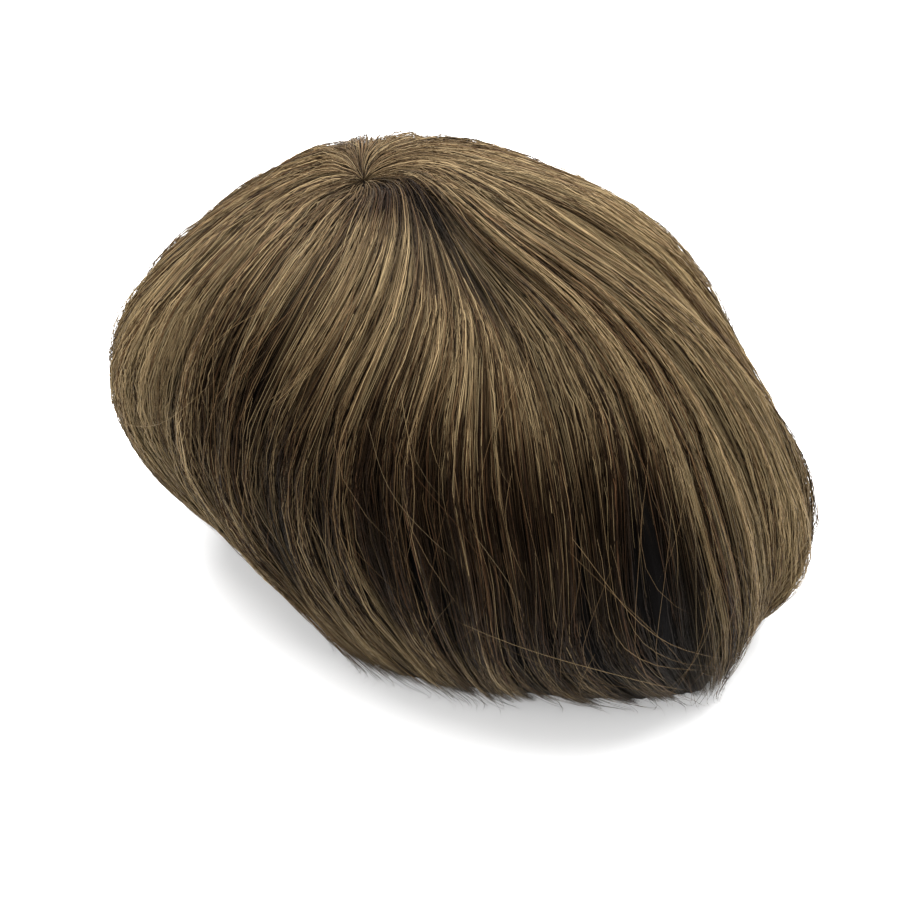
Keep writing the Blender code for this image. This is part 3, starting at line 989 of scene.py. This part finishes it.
def under_sheets(section, rng):
    """Outer and inner sheets of a section's under-layer, as grids of columns by rows. The outer
    one follows the locks, sunk below the strands, and the two close in on each other at a ragged
    edge just above the floor."""
    columns = section["locks"] * UNDER_COLUMNS + 1
    place = np.linspace(0, 1, columns)
    bearing = section["start"] + (section["end"] - section["start"]) * place
    ragged = RAGGED + RAGGED_SPREAD * rng.random(columns)
    ragged[1:-1] = (ragged[:-2] + 2 * ragged[1:-1] + ragged[2:]) / 4
    ragged[[0, -1]] = RAGGED_SEAM
    start = (SWIRL_RADIUS * 0.6) / arc_length(bearing)
    t = np.linspace(0, 1, UNDER_ROWS)[None] ** 1.15
    arc = start[:, None] + (1 - ragged - start)[:, None] * t
    grid = np.broadcast_to(bearing[:, None], arc.shape)
    fall = fall_at(grid, arc)
    fine = UNDER_FINE * rng.normal(0, 1, columns)
    fine[[0, -1]] = 0
    sunk = UNDER_SUNK + lock_relief(section, grid, fall) + fine[:, None] * smooth(arc / 0.2)
    sunk = sunk + UNDER_HEM_SUNK * smooth((arc - 0.80) / 0.2)
    outer = hair_points(grid, fall, np.minimum(sunk, UNDER_DEEPEST))
    inner = hair_points(grid, fall, 1.0)
    return outer, inner, arc, grid


def grid_squares(columns, rows):
    """Corner numbers of the squares of a grid, turned to face out where the columns run with the
    bearing and the rows down the hair."""
    index = np.arange(columns * rows).reshape(columns, rows)
    a, b = index[:-1, :-1], index[1:, :-1]
    c, d = index[1:, 1:], index[:-1, 1:]
    return index, np.stack([a, d, c, b], -1).reshape(-1, 4)


def closed_sheets(outer, inner):
    """Points and triangles of the solid between two grids, and the place of each corner in a map
    whose left half is the outer sheet and right half the inner one, with the rim between."""
    columns, rows = outer.shape[:2]
    index, squares = grid_squares(columns, rows)
    below = squares[:, ::-1] + columns * rows
    rim = np.concatenate([index[:-1, 0], index[-1, :-1], index[:0:-1, -1], index[0, :0:-1]])
    after = np.roll(rim, -1)
    walls = np.stack([rim, after, after + columns * rows, rim + columns * rows], -1)
    u = np.broadcast_to(np.linspace(0.02, 0.48, columns)[:, None], (columns, rows))
    v = np.broadcast_to(np.linspace(0.05, 0.98, rows)[None], (columns, rows))
    place = np.concatenate([np.stack([u, v], -1), np.stack([u + 0.5, v], -1)]).reshape(-1, 2)
    corners = np.concatenate([place[squares], place[below], rim_strip(len(walls))])
    quads = np.concatenate([squares, below, walls])
    points = np.concatenate([outer.reshape(-1, 3), inner.reshape(-1, 3)])
    return points, quads[:, HALVES].reshape(-1, 3), corners[:, HALVES].reshape(-1, 2)


def rim_strip(count):
    """Places of a rim's squares in a thin strip along the bottom of a map."""
    low = np.stack([np.linspace(0.02, 0.96, count), np.full(count, 0.008)], -1)
    step = np.array([0.9 / count, 0])
    rise = np.array([0, 0.02])
    return np.stack([low, low + step, low + step + rise, low + rise], 1)


def closed_dome(top, bottom):
    """Points, triangles and map places of the solid between two grids of rings by spokes, each
    closed at its middle by a fan. The top's disc is at the map's left, the bottom's at its
    right."""
    rings, spokes = top.shape[:2]
    index = np.arange(rings * spokes).reshape(rings, spokes)
    ahead = np.roll(index, -1, axis=1)
    squares = np.stack([index[:-1], index[1:], ahead[1:], ahead[:-1]], -1).reshape(-1, 4)
    under = rings * spokes
    below = squares[:, ::-1] + under
    walls = np.stack([index[-1], index[-1] + under, ahead[-1] + under, ahead[-1]], -1)
    turn = np.linspace(0, 2 * np.pi, spokes, endpoint=False)
    radius = 0.23 * (np.arange(rings) + 1)[:, None] / rings
    disc = np.stack([radius * np.cos(turn), radius * np.sin(turn)], -1)
    centres = np.array([[0.25, 0.6], [0.75, 0.6]])
    place = np.concatenate([(disc + centre).reshape(-1, 2) for centre in centres] + [centres])
    quads = np.concatenate([squares, below, walls])
    corners = np.concatenate([place[squares], place[below], rim_strip(len(walls))])
    middle = 2 * under
    fans = np.concatenate([
        np.stack([np.full(spokes, middle), index[0], ahead[0]], -1),
        np.stack([np.full(spokes, middle + 1), ahead[0] + under, index[0] + under], -1),
    ])
    faces = np.concatenate([quads[:, HALVES].reshape(-1, 3), fans])
    corners = np.concatenate([corners[:, HALVES].reshape(-1, 2), place[fans].reshape(-1, 2)])
    points = [top.reshape(-1, 3), bottom.reshape(-1, 3), top[:1].mean(1), bottom[:1].mean(1)]
    return np.concatenate(points), faces, corners


def under_piece(section, rng):
    """The under-layer of a section, which blocks sight through the strands. Its flow map runs in
    centimetres across and along the hair."""
    outer, inner, arc, grid = under_sheets(section, rng)
    points, faces, corners = closed_sheets(outer, inner)
    across = np.radians(grid) * belly_radius(grid, 0) * 100
    along = arc * arc_length(grid) * 100
    flow = np.stack([across, along], -1).reshape(-1, 2)
    flow = np.concatenate([flow, flow + 40.0])
    # Painted shade and painted light, with some darker and lighter locks, as over the strands
    shade = painted_light_and_tone_shift(grid, arc).ravel()
    values = {"along": np.tile(arc.ravel(), 2), "shade": np.tile(shade, 2)}
    maps = {"flow": flow[faces], "OFBake": corners}
    name = section["name"]
    return new_piece(name + "_under", points, faces, maps, values, (name,))


def swirl_under_piece():
    """The small dome under the middle of the whorl, on the hair's surface, sunk like the rest."""
    bearings = np.linspace(0, 360, DOME_SPOKES, endpoint=False)
    arc = np.linspace(*DOME_ARC, DOME_RINGS)[:, None] + 0 * bearings
    fall = fall_at(bearings + 0 * arc, arc)
    sunk = DOME_SUNK + locks_relief(bearings + 0 * arc, fall)
    top = hair_points(bearings, fall, sunk)
    bottom = hair_points(bearings, fall, DOME_BOTTOM)
    points, faces, corners = closed_dome(top, bottom)
    count = len(points)
    # Painted shade: the dome's tone is shifted darker, and its material darkens it fully by depth
    values = {"along": np.full(count, DOME_ALONG), "shade": np.full(count, DOME_PAINTED_SHADE)}
    maps = {"flow": points[faces][..., :2] * 100, "OFBake": corners}
    return new_piece("crown_swirl_under", points, faces, maps, values, ("crown_swirl",))


def base_piece():
    """The net base: a thin dome that follows the crown's surface under the hair, out to an oval
    edge. edge is 0 in the middle and 1 at the rim."""
    angles = np.linspace(0, 360, BASE_SPOKES, endpoint=False)
    shares = (np.arange(BASE_RINGS) + 1) / BASE_RINGS
    reach = oval(angles, BASE_WIDTH / 2, BASE_LENGTH / 2)
    plan = heading(angles) * (reach * shares[:, None])[..., None]
    sheets = []
    for inset in (HAIR_WALL + BASE_GAP, HAIR_WALL + BASE_GAP + BASE_WALL):
        height = crown_height(plan, inset)
        sheets.append(MIDDLE + np.concatenate([plan, height[..., None]], -1))
    points, faces, corners = closed_dome(*sheets)
    edge = np.repeat(shares, BASE_SPOKES)
    values = {"edge": np.concatenate([edge, edge, [0, 0]])}
    return new_piece("base_net", points, faces, {"OFBake": corners}, values, ("base_cap",))


def shader(name):
    """A new material with its Principled node."""
    material = bpy.data.materials.new(name)
    material.use_nodes = True
    return material, material.node_tree.nodes["Principled BSDF"]


def linked(tree, kind, inputs=(), **settings):
    """Adds a node, sets its properties, and sets or links its inputs by name or number."""
    node = tree.nodes.new(kind)
    for key, value in settings.items():
        setattr(node, key, value)
    for key, value in dict(inputs).items():
        if isinstance(value, bpy.types.NodeSocket):
            tree.links.new(value, node.inputs[key])
        else:
            node.inputs[key].default_value = value
    return node


def attribute(tree, name):
    """A value that the mesh holds under this name."""
    return linked(tree, "ShaderNodeAttribute", attribute_name=name).outputs["Fac"]


def grouped_node(tree, name, inputs):
    """Places one of the node groups in a material."""
    return linked(tree, "ShaderNodeGroup", inputs, node_tree=bpy.data.node_groups[name])


def ramp(tree, value, low=0.0, high=1.0, to_low=0.0, to_high=1.0):
    """The value moved from the range low to high into the range to_low to to_high."""
    ends = {"From Min": low, "From Max": high, "To Min": to_low, "To Max": to_high}
    return linked(tree, "ShaderNodeMapRange", {"Value": value, **ends}).outputs[0]


def maths(tree, operation, *values):
    """A sum, product or the like of values."""
    return linked(tree, "ShaderNodeMath", dict(enumerate(values)), operation=operation).outputs[0]


def blend(tree, share, first, second):
    """The first colour, turned into the second by a share."""
    inputs = {0: share, 6: first, 7: second}
    return linked(tree, "ShaderNodeMix", inputs, data_type="RGBA").outputs[2]


def hair_colour_group():
    """Colour of hair from its tone, tint, place along and depth.

    The tone runs from dark through mid to light. High tints turn warm. Low ones turn ash, and so
    do the tips, the darkest hair apart. Depth darkens it as painted shade. The roots darken it too,
    and slow noise makes patches."""
    group = bpy.data.node_groups.new("Hair colour", "ShaderNodeTree")
    face = group.interface
    for name in ("Tone", "Tint", "Along", "Depth"):
        face.new_socket(name, in_out="INPUT", socket_type="NodeSocketFloat")
    for name in ("Dark", "Mid", "Light", "Warm", "Ash"):
        face.new_socket(name, in_out="INPUT", socket_type="NodeSocketColor")
    face.new_socket("Color", in_out="OUTPUT", socket_type="NodeSocketColor")
    face.new_socket("Roughness", in_out="OUTPUT", socket_type="NodeSocketFloat")
    source = group.nodes.new("NodeGroupInput").outputs
    place = linked(group, "ShaderNodeTexCoord").outputs["Object"]
    patch = linked(group, "ShaderNodeTexNoise", {"Vector": place, "Scale": 26.0, "Detail": 3.0})
    shift = maths(group, "MULTIPLY_ADD", patch.outputs["Fac"], 0.3, -0.15)
    tone = maths(group, "ADD", source["Tone"], shift)
    low = ramp(group, tone, 0.1, 0.5)
    base = blend(group, low, source["Dark"], source["Mid"])
    base = blend(group, ramp(group, tone, 0.5, 0.92), base, source["Light"])
    warm = ramp(group, source["Tint"], 0.82, 1.0, to_high=0.6)
    base = blend(group, warm, base, source["Warm"])
    ash = maths(group, "MULTIPLY", ramp(group, source["Tint"], 0.25, 0.0, to_high=0.6), low)
    base = blend(group, ash, base, source["Ash"])
    tips = maths(group, "MULTIPLY", ramp(group, source["Along"], 0.75, 1.0, to_high=0.25), low)
    base = blend(group, tips, base, source["Ash"])
    roots = ramp(group, source["Along"], 0.0, 0.12, to_low=0.8)
    # Painted shade: deep hair is darkened to 0.08 of its colour, and hair at the surface is raised
    # to 1.2 times it
    depth = ramp(group, source["Depth"], to_low=1.20, to_high=0.08)
    gain = maths(group, "MULTIPLY", roots, depth)
    final = linked(group, "ShaderNodeVectorMath", {0: base, 3: gain}, operation="SCALE")
    out = group.nodes.new("NodeGroupOutput")
    group.links.new(final.outputs[0], out.inputs["Color"])
    group.links.new(ramp(group, tone, to_low=0.5, to_high=0.4), out.inputs["Roughness"])
    return group


def strand_grain_group():
    """Streaks that run with the hair: noise stretched along the flow map, coarse and fine mixed."""
    group = bpy.data.node_groups.new("Strand grain", "ShaderNodeTree")
    group.interface.new_socket("Flow", in_out="INPUT", socket_type="NodeSocketVector")
    group.interface.new_socket("Tone", in_out="OUTPUT", socket_type="NodeSocketFloat")
    group.interface.new_socket("Height", in_out="OUTPUT", socket_type="NodeSocketFloat")
    flow = group.nodes.new("NodeGroupInput").outputs["Flow"]
    streaks = []
    for stretch in ((18.0, 0.35, 1.0), (4.0, 0.15, 1.0)):
        place = linked(group, "ShaderNodeVectorMath", {0: flow, 1: stretch}, operation="MULTIPLY")
        inputs = {"Vector": place.outputs[0], "Scale": 1.0, "Detail": 2.0}
        streaks.append(linked(group, "ShaderNodeTexNoise", inputs).outputs["Fac"])
    out = group.nodes.new("NodeGroupOutput")
    half = maths(group, "MULTIPLY", maths(group, "ADD", *streaks), 0.5)
    group.links.new(half, out.inputs["Tone"])
    group.links.new(streaks[0], out.inputs["Height"])
    return group


def hair_colour_node(tree, colours, tone, tint, along, depth):
    """Places the hair colour group in a material, with this hair's colours."""
    inputs = {"Tone": tone, "Tint": tint, "Along": along, "Depth": depth}
    for name in ("Dark", "Mid", "Light", "Warm", "Ash"):
        inputs[name] = (*getattr(colours, name.lower()), 1.0)
    return grouped_node(tree, "Hair colour", inputs)


def strand_material(colours):
    """Hair strands: their tone and tint, with painted shade and light, satin along the strand."""
    material, surface = shader("hair_strand")
    tree = material.node_tree
    read = {name: attribute(tree, name) for name in ("tone", "tint", "along", "depth")}
    colour = hair_colour_node(tree, colours, **read)
    tree.links.new(colour.outputs["Color"], surface.inputs["Base Color"])
    tree.links.new(colour.outputs["Roughness"], surface.inputs["Roughness"])
    surface.inputs["Specular IOR Level"].default_value = 0.09
    surface.inputs["Specular Tint"].default_value = (1.0, 0.78, 0.55, 1.0)
    return material


def under_material(colours):
    """Deep hair: streaks from the flow map, darkened with painted shade below the strands over it.
    """
    material, surface = shader("hair_under")
    tree = material.node_tree
    flow = linked(tree, "ShaderNodeUVMap", uv_map="flow").outputs["UV"]
    grain = grouped_node(tree, "Strand grain", {"Flow": flow})
    tone = maths(tree, "ADD", grain.outputs["Tone"], attribute(tree, "shade"))
    # Painted shade: a depth of 1.0 darkens the colour to 0.08 of the hair's, and the shade value
    # adds the painted shade and light of the hair above
    colour = hair_colour_node(tree, colours, tone, 0.5, attribute(tree, "along"), 1.0)
    tree.links.new(colour.outputs["Color"], surface.inputs["Base Color"])
    inputs = {"Height": grain.outputs["Height"], "Strength": 0.7, "Distance": 0.0006}
    bump = linked(tree, "ShaderNodeBump", inputs)
    tree.links.new(bump.outputs["Normal"], surface.inputs["Normal"])
    surface.inputs["Roughness"].default_value = 0.7
    surface.inputs["Specular IOR Level"].default_value = 0.03
    return material


def net_material(colours):
    """Net of the base: fine threads round small open cells, and a plain band along the rim."""
    material, surface = shader("base_net")
    tree = material.node_tree
    place = linked(tree, "ShaderNodeTexCoord").outputs["Object"]
    inputs = {"Vector": place, "Scale": 620.0, "Randomness": 0.35}
    cells = linked(tree, "ShaderNodeTexVoronoi", inputs, feature="DISTANCE_TO_EDGE")
    thread = ramp(tree, cells.outputs["Distance"], 0.06, 0.16, 1.0, 0.0)
    band = ramp(tree, attribute(tree, "edge"), 0.90, 0.905)
    mask = maths(tree, "MAXIMUM", thread, band)
    cell_colour = (*(0.45 * np.array(colours.net)), 1.0)
    colour = blend(tree, mask, cell_colour, (*colours.net, 1.0))
    tree.links.new(colour, surface.inputs["Base Color"])
    bump = linked(tree, "ShaderNodeBump", {"Height": mask, "Strength": 0.5, "Distance": 0.0002})
    tree.links.new(bump.outputs["Normal"], surface.inputs["Normal"])
    surface.inputs["Roughness"].default_value = 0.6
    return material


def plain_stage_material(colour, glow):
    """The floor: a plain pale matt surface, lit a little from inside as a light table is."""
    material, surface = shader("pale_floor")
    surface.inputs["Base Color"].default_value = (*colour, 1.0)
    surface.inputs["Roughness"].default_value = 0.9
    surface.inputs["Specular IOR Level"].default_value = 0.1
    surface.inputs["Emission Color"].default_value = (1.0, 1.0, 1.0, 1.0)
    surface.inputs["Emission Strength"].default_value = glow
    return material


def length_property(name, description, default):
    """A length with its default, in metres."""
    return bpy.props.FloatProperty(
        name=name, description=description, default=default, unit="LENGTH"
    )


def share_property(name, description, default):
    """A share with its default."""
    return bpy.props.FloatProperty(
        name=name, description=description, default=default, subtype="FACTOR"
    )


def whole_property(name, description, default):
    """A whole number with its default."""
    return bpy.props.IntProperty(name=name, description=description, default=default)


def colour_property(name, description, default):
    """A colour with its default, in linear red, green and blue."""
    return bpy.props.FloatVectorProperty(
        name=name, description=description, default=default, subtype="COLOR", min=0, max=1
    )


class HairpieceSizes(bpy.types.PropertyGroup):
    """Sizes and numbers of the strands."""

    strand_thickness: length_property("Strand thickness", "Width of one strand", 0.00028)
    stray_thickness: length_property("Stray thickness", "Width of a single loose hair", 0.00015)
    tuft_width: length_property("Tuft width", "Width of a tuft at the widest place", 0.0055)
    long_share: share_property("Long share", "Share of strands that start near the whorl", 0.5)
    loose_share: share_property("Loose share", "Share of strands that cross the others", 0.08)
    density: share_property("Density", "Share of the full number of strands", 1.0)
    wisp: whole_property("Wisp", "Strands that share a tone", 6)
    swirl_count: whole_property("Swirl strands", "Strands in the middle of the whorl", 900)
    stray_count: whole_property("Strays", "Loose hairs over the whole piece", 420)
    hem_count: whole_property("Hem strays", "Loose ends round the tips", 300)
    seed: whole_property("Seed", "Start of the random draws", 7)


class HairpieceColours(bpy.types.PropertyGroup):
    """Colours of the hair, the net and the floor."""

    dark: colour_property("Dark", "Darkest hairs", (0.0075, 0.0036, 0.0018))
    mid: colour_property("Mid", "Most hairs", (0.083, 0.0525, 0.0250))
    light: colour_property("Light", "Palest hairs", (0.245, 0.178, 0.093))
    warm: colour_property("Warm", "Reddish hairs", (0.100, 0.050, 0.023))
    ash: colour_property("Ash", "Ashen hairs", (0.092, 0.077, 0.046))
    net: colour_property("Net", "Net of the base", (0.60, 0.45, 0.34))
    floor: colour_property("Floor", "Floor under the piece", (0.86, 0.86, 0.86))


class HairpieceStage(bpy.types.PropertyGroup):
    """Lights of the stage."""

    key_power: bpy.props.FloatProperty(
        name="Key power", description="Power of the big overhead light, in watts", default=78.0
    )
    key_size: length_property("Key size", "Width of the overhead light", 2.0)
    key_place: bpy.props.FloatVectorProperty(
        name="Key place", description="Where the overhead light hangs", default=(0.40, 0.20, 1.20),
        subtype="TRANSLATION", unit="LENGTH",
    )
    floor_glow: bpy.props.FloatProperty(
        name="Floor glow", description="Light that the floor itself gives", default=0.25
    )
    sky: bpy.props.FloatProperty(
        name="Sky", description="Strength of the even light from all round", default=1.20
    )


def random_for(number):
    """A seeded generator for the piece of this number."""
    return np.random.default_rng([bpy.context.scene.hairpiece_sizes.seed, number])


def placed(name, data, place, target):
    """Puts a lamp or a camera at a place, turned towards a target."""
    thing = bpy.data.objects.new(name, data)
    thing.location = place
    aim = Vector(np.array(target) - np.array(thing.location))
    thing.rotation_euler = aim.to_track_quat("-Z", "Y").to_euler()
    bpy.context.scene.collection.objects.link(thing)
    return thing


def floor_piece(colour, glow):
    """A plain square floor."""
    mesh = bpy.data.meshes.new("floor")
    corners = [(-1, -1), (1, -1), (1, 1), (-1, 1)]
    points = [(x * FLOOR_HALF, y * FLOOR_HALF, 0) for x, y in corners]
    mesh.from_pydata(points, [], [(0, 1, 2, 3)])
    mesh.materials.append(plain_stage_material(colour, glow))
    floor = bpy.data.objects.new("floor", mesh)
    bpy.context.scene.collection.objects.link(floor)
    return floor


def photo_camera():
    """A camera at the photograph's angle."""
    camera = bpy.data.cameras.new("camera")
    camera.lens = CAMERA_LENS
    camera.sensor_width = CAMERA_SENSOR
    camera.shift_x, camera.shift_y = np.array(PICTURE_SHIFT) / PICTURE_WIDTH
    rise = np.radians(CAMERA_RISE)
    back = np.append(heading(CAMERA_BEARING) * np.cos(rise), np.sin(rise))
    target = MIDDLE + np.array([0, 0, CAMERA_TARGET])
    return placed("camera", camera, target + back * CAMERA_DISTANCE, target)


class HAIRPIECE_OT_stage(bpy.types.Operator):
    """Adds the floor, the lights and the camera"""

    bl_idname = "hairpiece.stage"
    bl_label = "Stage"

    def execute(self, context):
        scene = context.scene
        settings = scene.hairpiece_stage
        floor = floor_piece(scene.hairpiece_colours.floor, settings.floor_glow)
        key = bpy.data.lights.new("key", "AREA")
        key.shape = "DISK"
        key.size = settings.key_size
        key.energy = settings.key_power
        placed("key", key, settings.key_place, (0, 0, LAMP_TARGET))
        world = bpy.data.worlds.new("sky")
        world.use_nodes = True
        sky = world.node_tree.nodes["Background"].inputs
        sky["Color"].default_value = (1, 1, 1, 1)
        sky["Strength"].default_value = settings.sky
        scene.world = world
        scene.view_settings.view_transform = "Standard"
        scene.camera = photo_camera()
        return {"FINISHED"}


class HAIRPIECE_OT_under(bpy.types.Operator):
    """Adds the under-layer of every section"""

    bl_idname = "hairpiece.under"
    bl_label = "Under-layer"

    def execute(self, context):
        material = under_material(context.scene.hairpiece_colours)
        for number, section in enumerate(SECTIONS):
            under_piece(section, random_for(number)).data.materials.append(material)
        swirl_under_piece().data.materials.append(material)
        return {"FINISHED"}


class HAIRPIECE_OT_strands(bpy.types.Operator):
    """Adds the strands of every section"""

    bl_idname = "hairpiece.strands"
    bl_label = "Strands"

    def execute(self, context):
        material = strand_material(context.scene.hairpiece_colours)
        sizes = context.scene.hairpiece_sizes
        made = {}
        for number, section in enumerate(SECTIONS):
            made[section["name"]] = section_strands(section, random_for(100 + number), sizes)
        made["crown_swirl"] = swirl_strands(random_for(200), sizes)
        for name, strands in made.items():
            strand_piece(name + "_strands", strands, (name,)).data.materials.append(material)
        return {"FINISHED"}


class HAIRPIECE_OT_strays(bpy.types.Operator):
    """Adds the loose hairs"""

    bl_idname = "hairpiece.strays"
    bl_label = "Loose hairs"

    def execute(self, context):
        sizes = context.scene.hairpiece_sizes
        rng = random_for(300)
        groups = [named_strays(rng, sizes), random_strays(rng, sizes), hem_strays(rng, sizes)]
        piece = strand_piece("loose_hairs", groups)
        piece.data.materials.append(bpy.data.materials["hair_strand"])
        return {"FINISHED"}


class HAIRPIECE_OT_base(bpy.types.Operator):
    """Adds the net base"""

    bl_idname = "hairpiece.base"
    bl_label = "Net base"

    def execute(self, context):
        base_piece().data.materials.append(net_material(context.scene.hairpiece_colours))
        return {"FINISHED"}


class HAIRPIECE_PT_pieces(bpy.types.Panel):
    """Lists the pieces"""

    bl_label = "Hairpiece"
    bl_idname = "HAIRPIECE_PT_pieces"
    bl_space_type = "VIEW_3D"
    bl_region_type = "UI"
    bl_category = "Hairpiece"

    def draw(self, context):
        for operator in OPERATORS:
            self.layout.operator(operator.bl_idname)


OPERATORS = (
    HAIRPIECE_OT_stage,
    HAIRPIECE_OT_base,
    HAIRPIECE_OT_under,
    HAIRPIECE_OT_strands,
    HAIRPIECE_OT_strays,
)
GROUPS = (HairpieceSizes, HairpieceColours, HairpieceStage)
CLASSES = GROUPS + OPERATORS + (HAIRPIECE_PT_pieces,)


def register():
    """Registers the classes and the settings on the scene."""
    for kind in CLASSES:
        bpy.utils.register_class(kind)
    scene = bpy.types.Scene
    scene.hairpiece_sizes = bpy.props.PointerProperty(type=HairpieceSizes)
    scene.hairpiece_colours = bpy.props.PointerProperty(type=HairpieceColours)
    scene.hairpiece_stage = bpy.props.PointerProperty(type=HairpieceStage)


def unregister():
    """Takes the settings and the classes away again."""
    scene = bpy.types.Scene
    del scene.hairpiece_sizes, scene.hairpiece_colours, scene.hairpiece_stage
    for kind in reversed(CLASSES):
        bpy.utils.unregister_class(kind)


def main():
    """Builds every piece."""
    register()
    hair_colour_group()
    strand_grain_group()
    bpy.ops.hairpiece.stage()
    bpy.ops.hairpiece.base()
    bpy.ops.hairpiece.under()
    bpy.ops.hairpiece.strands()
    bpy.ops.hairpiece.strays()


if __name__ == "__main__":
    main()
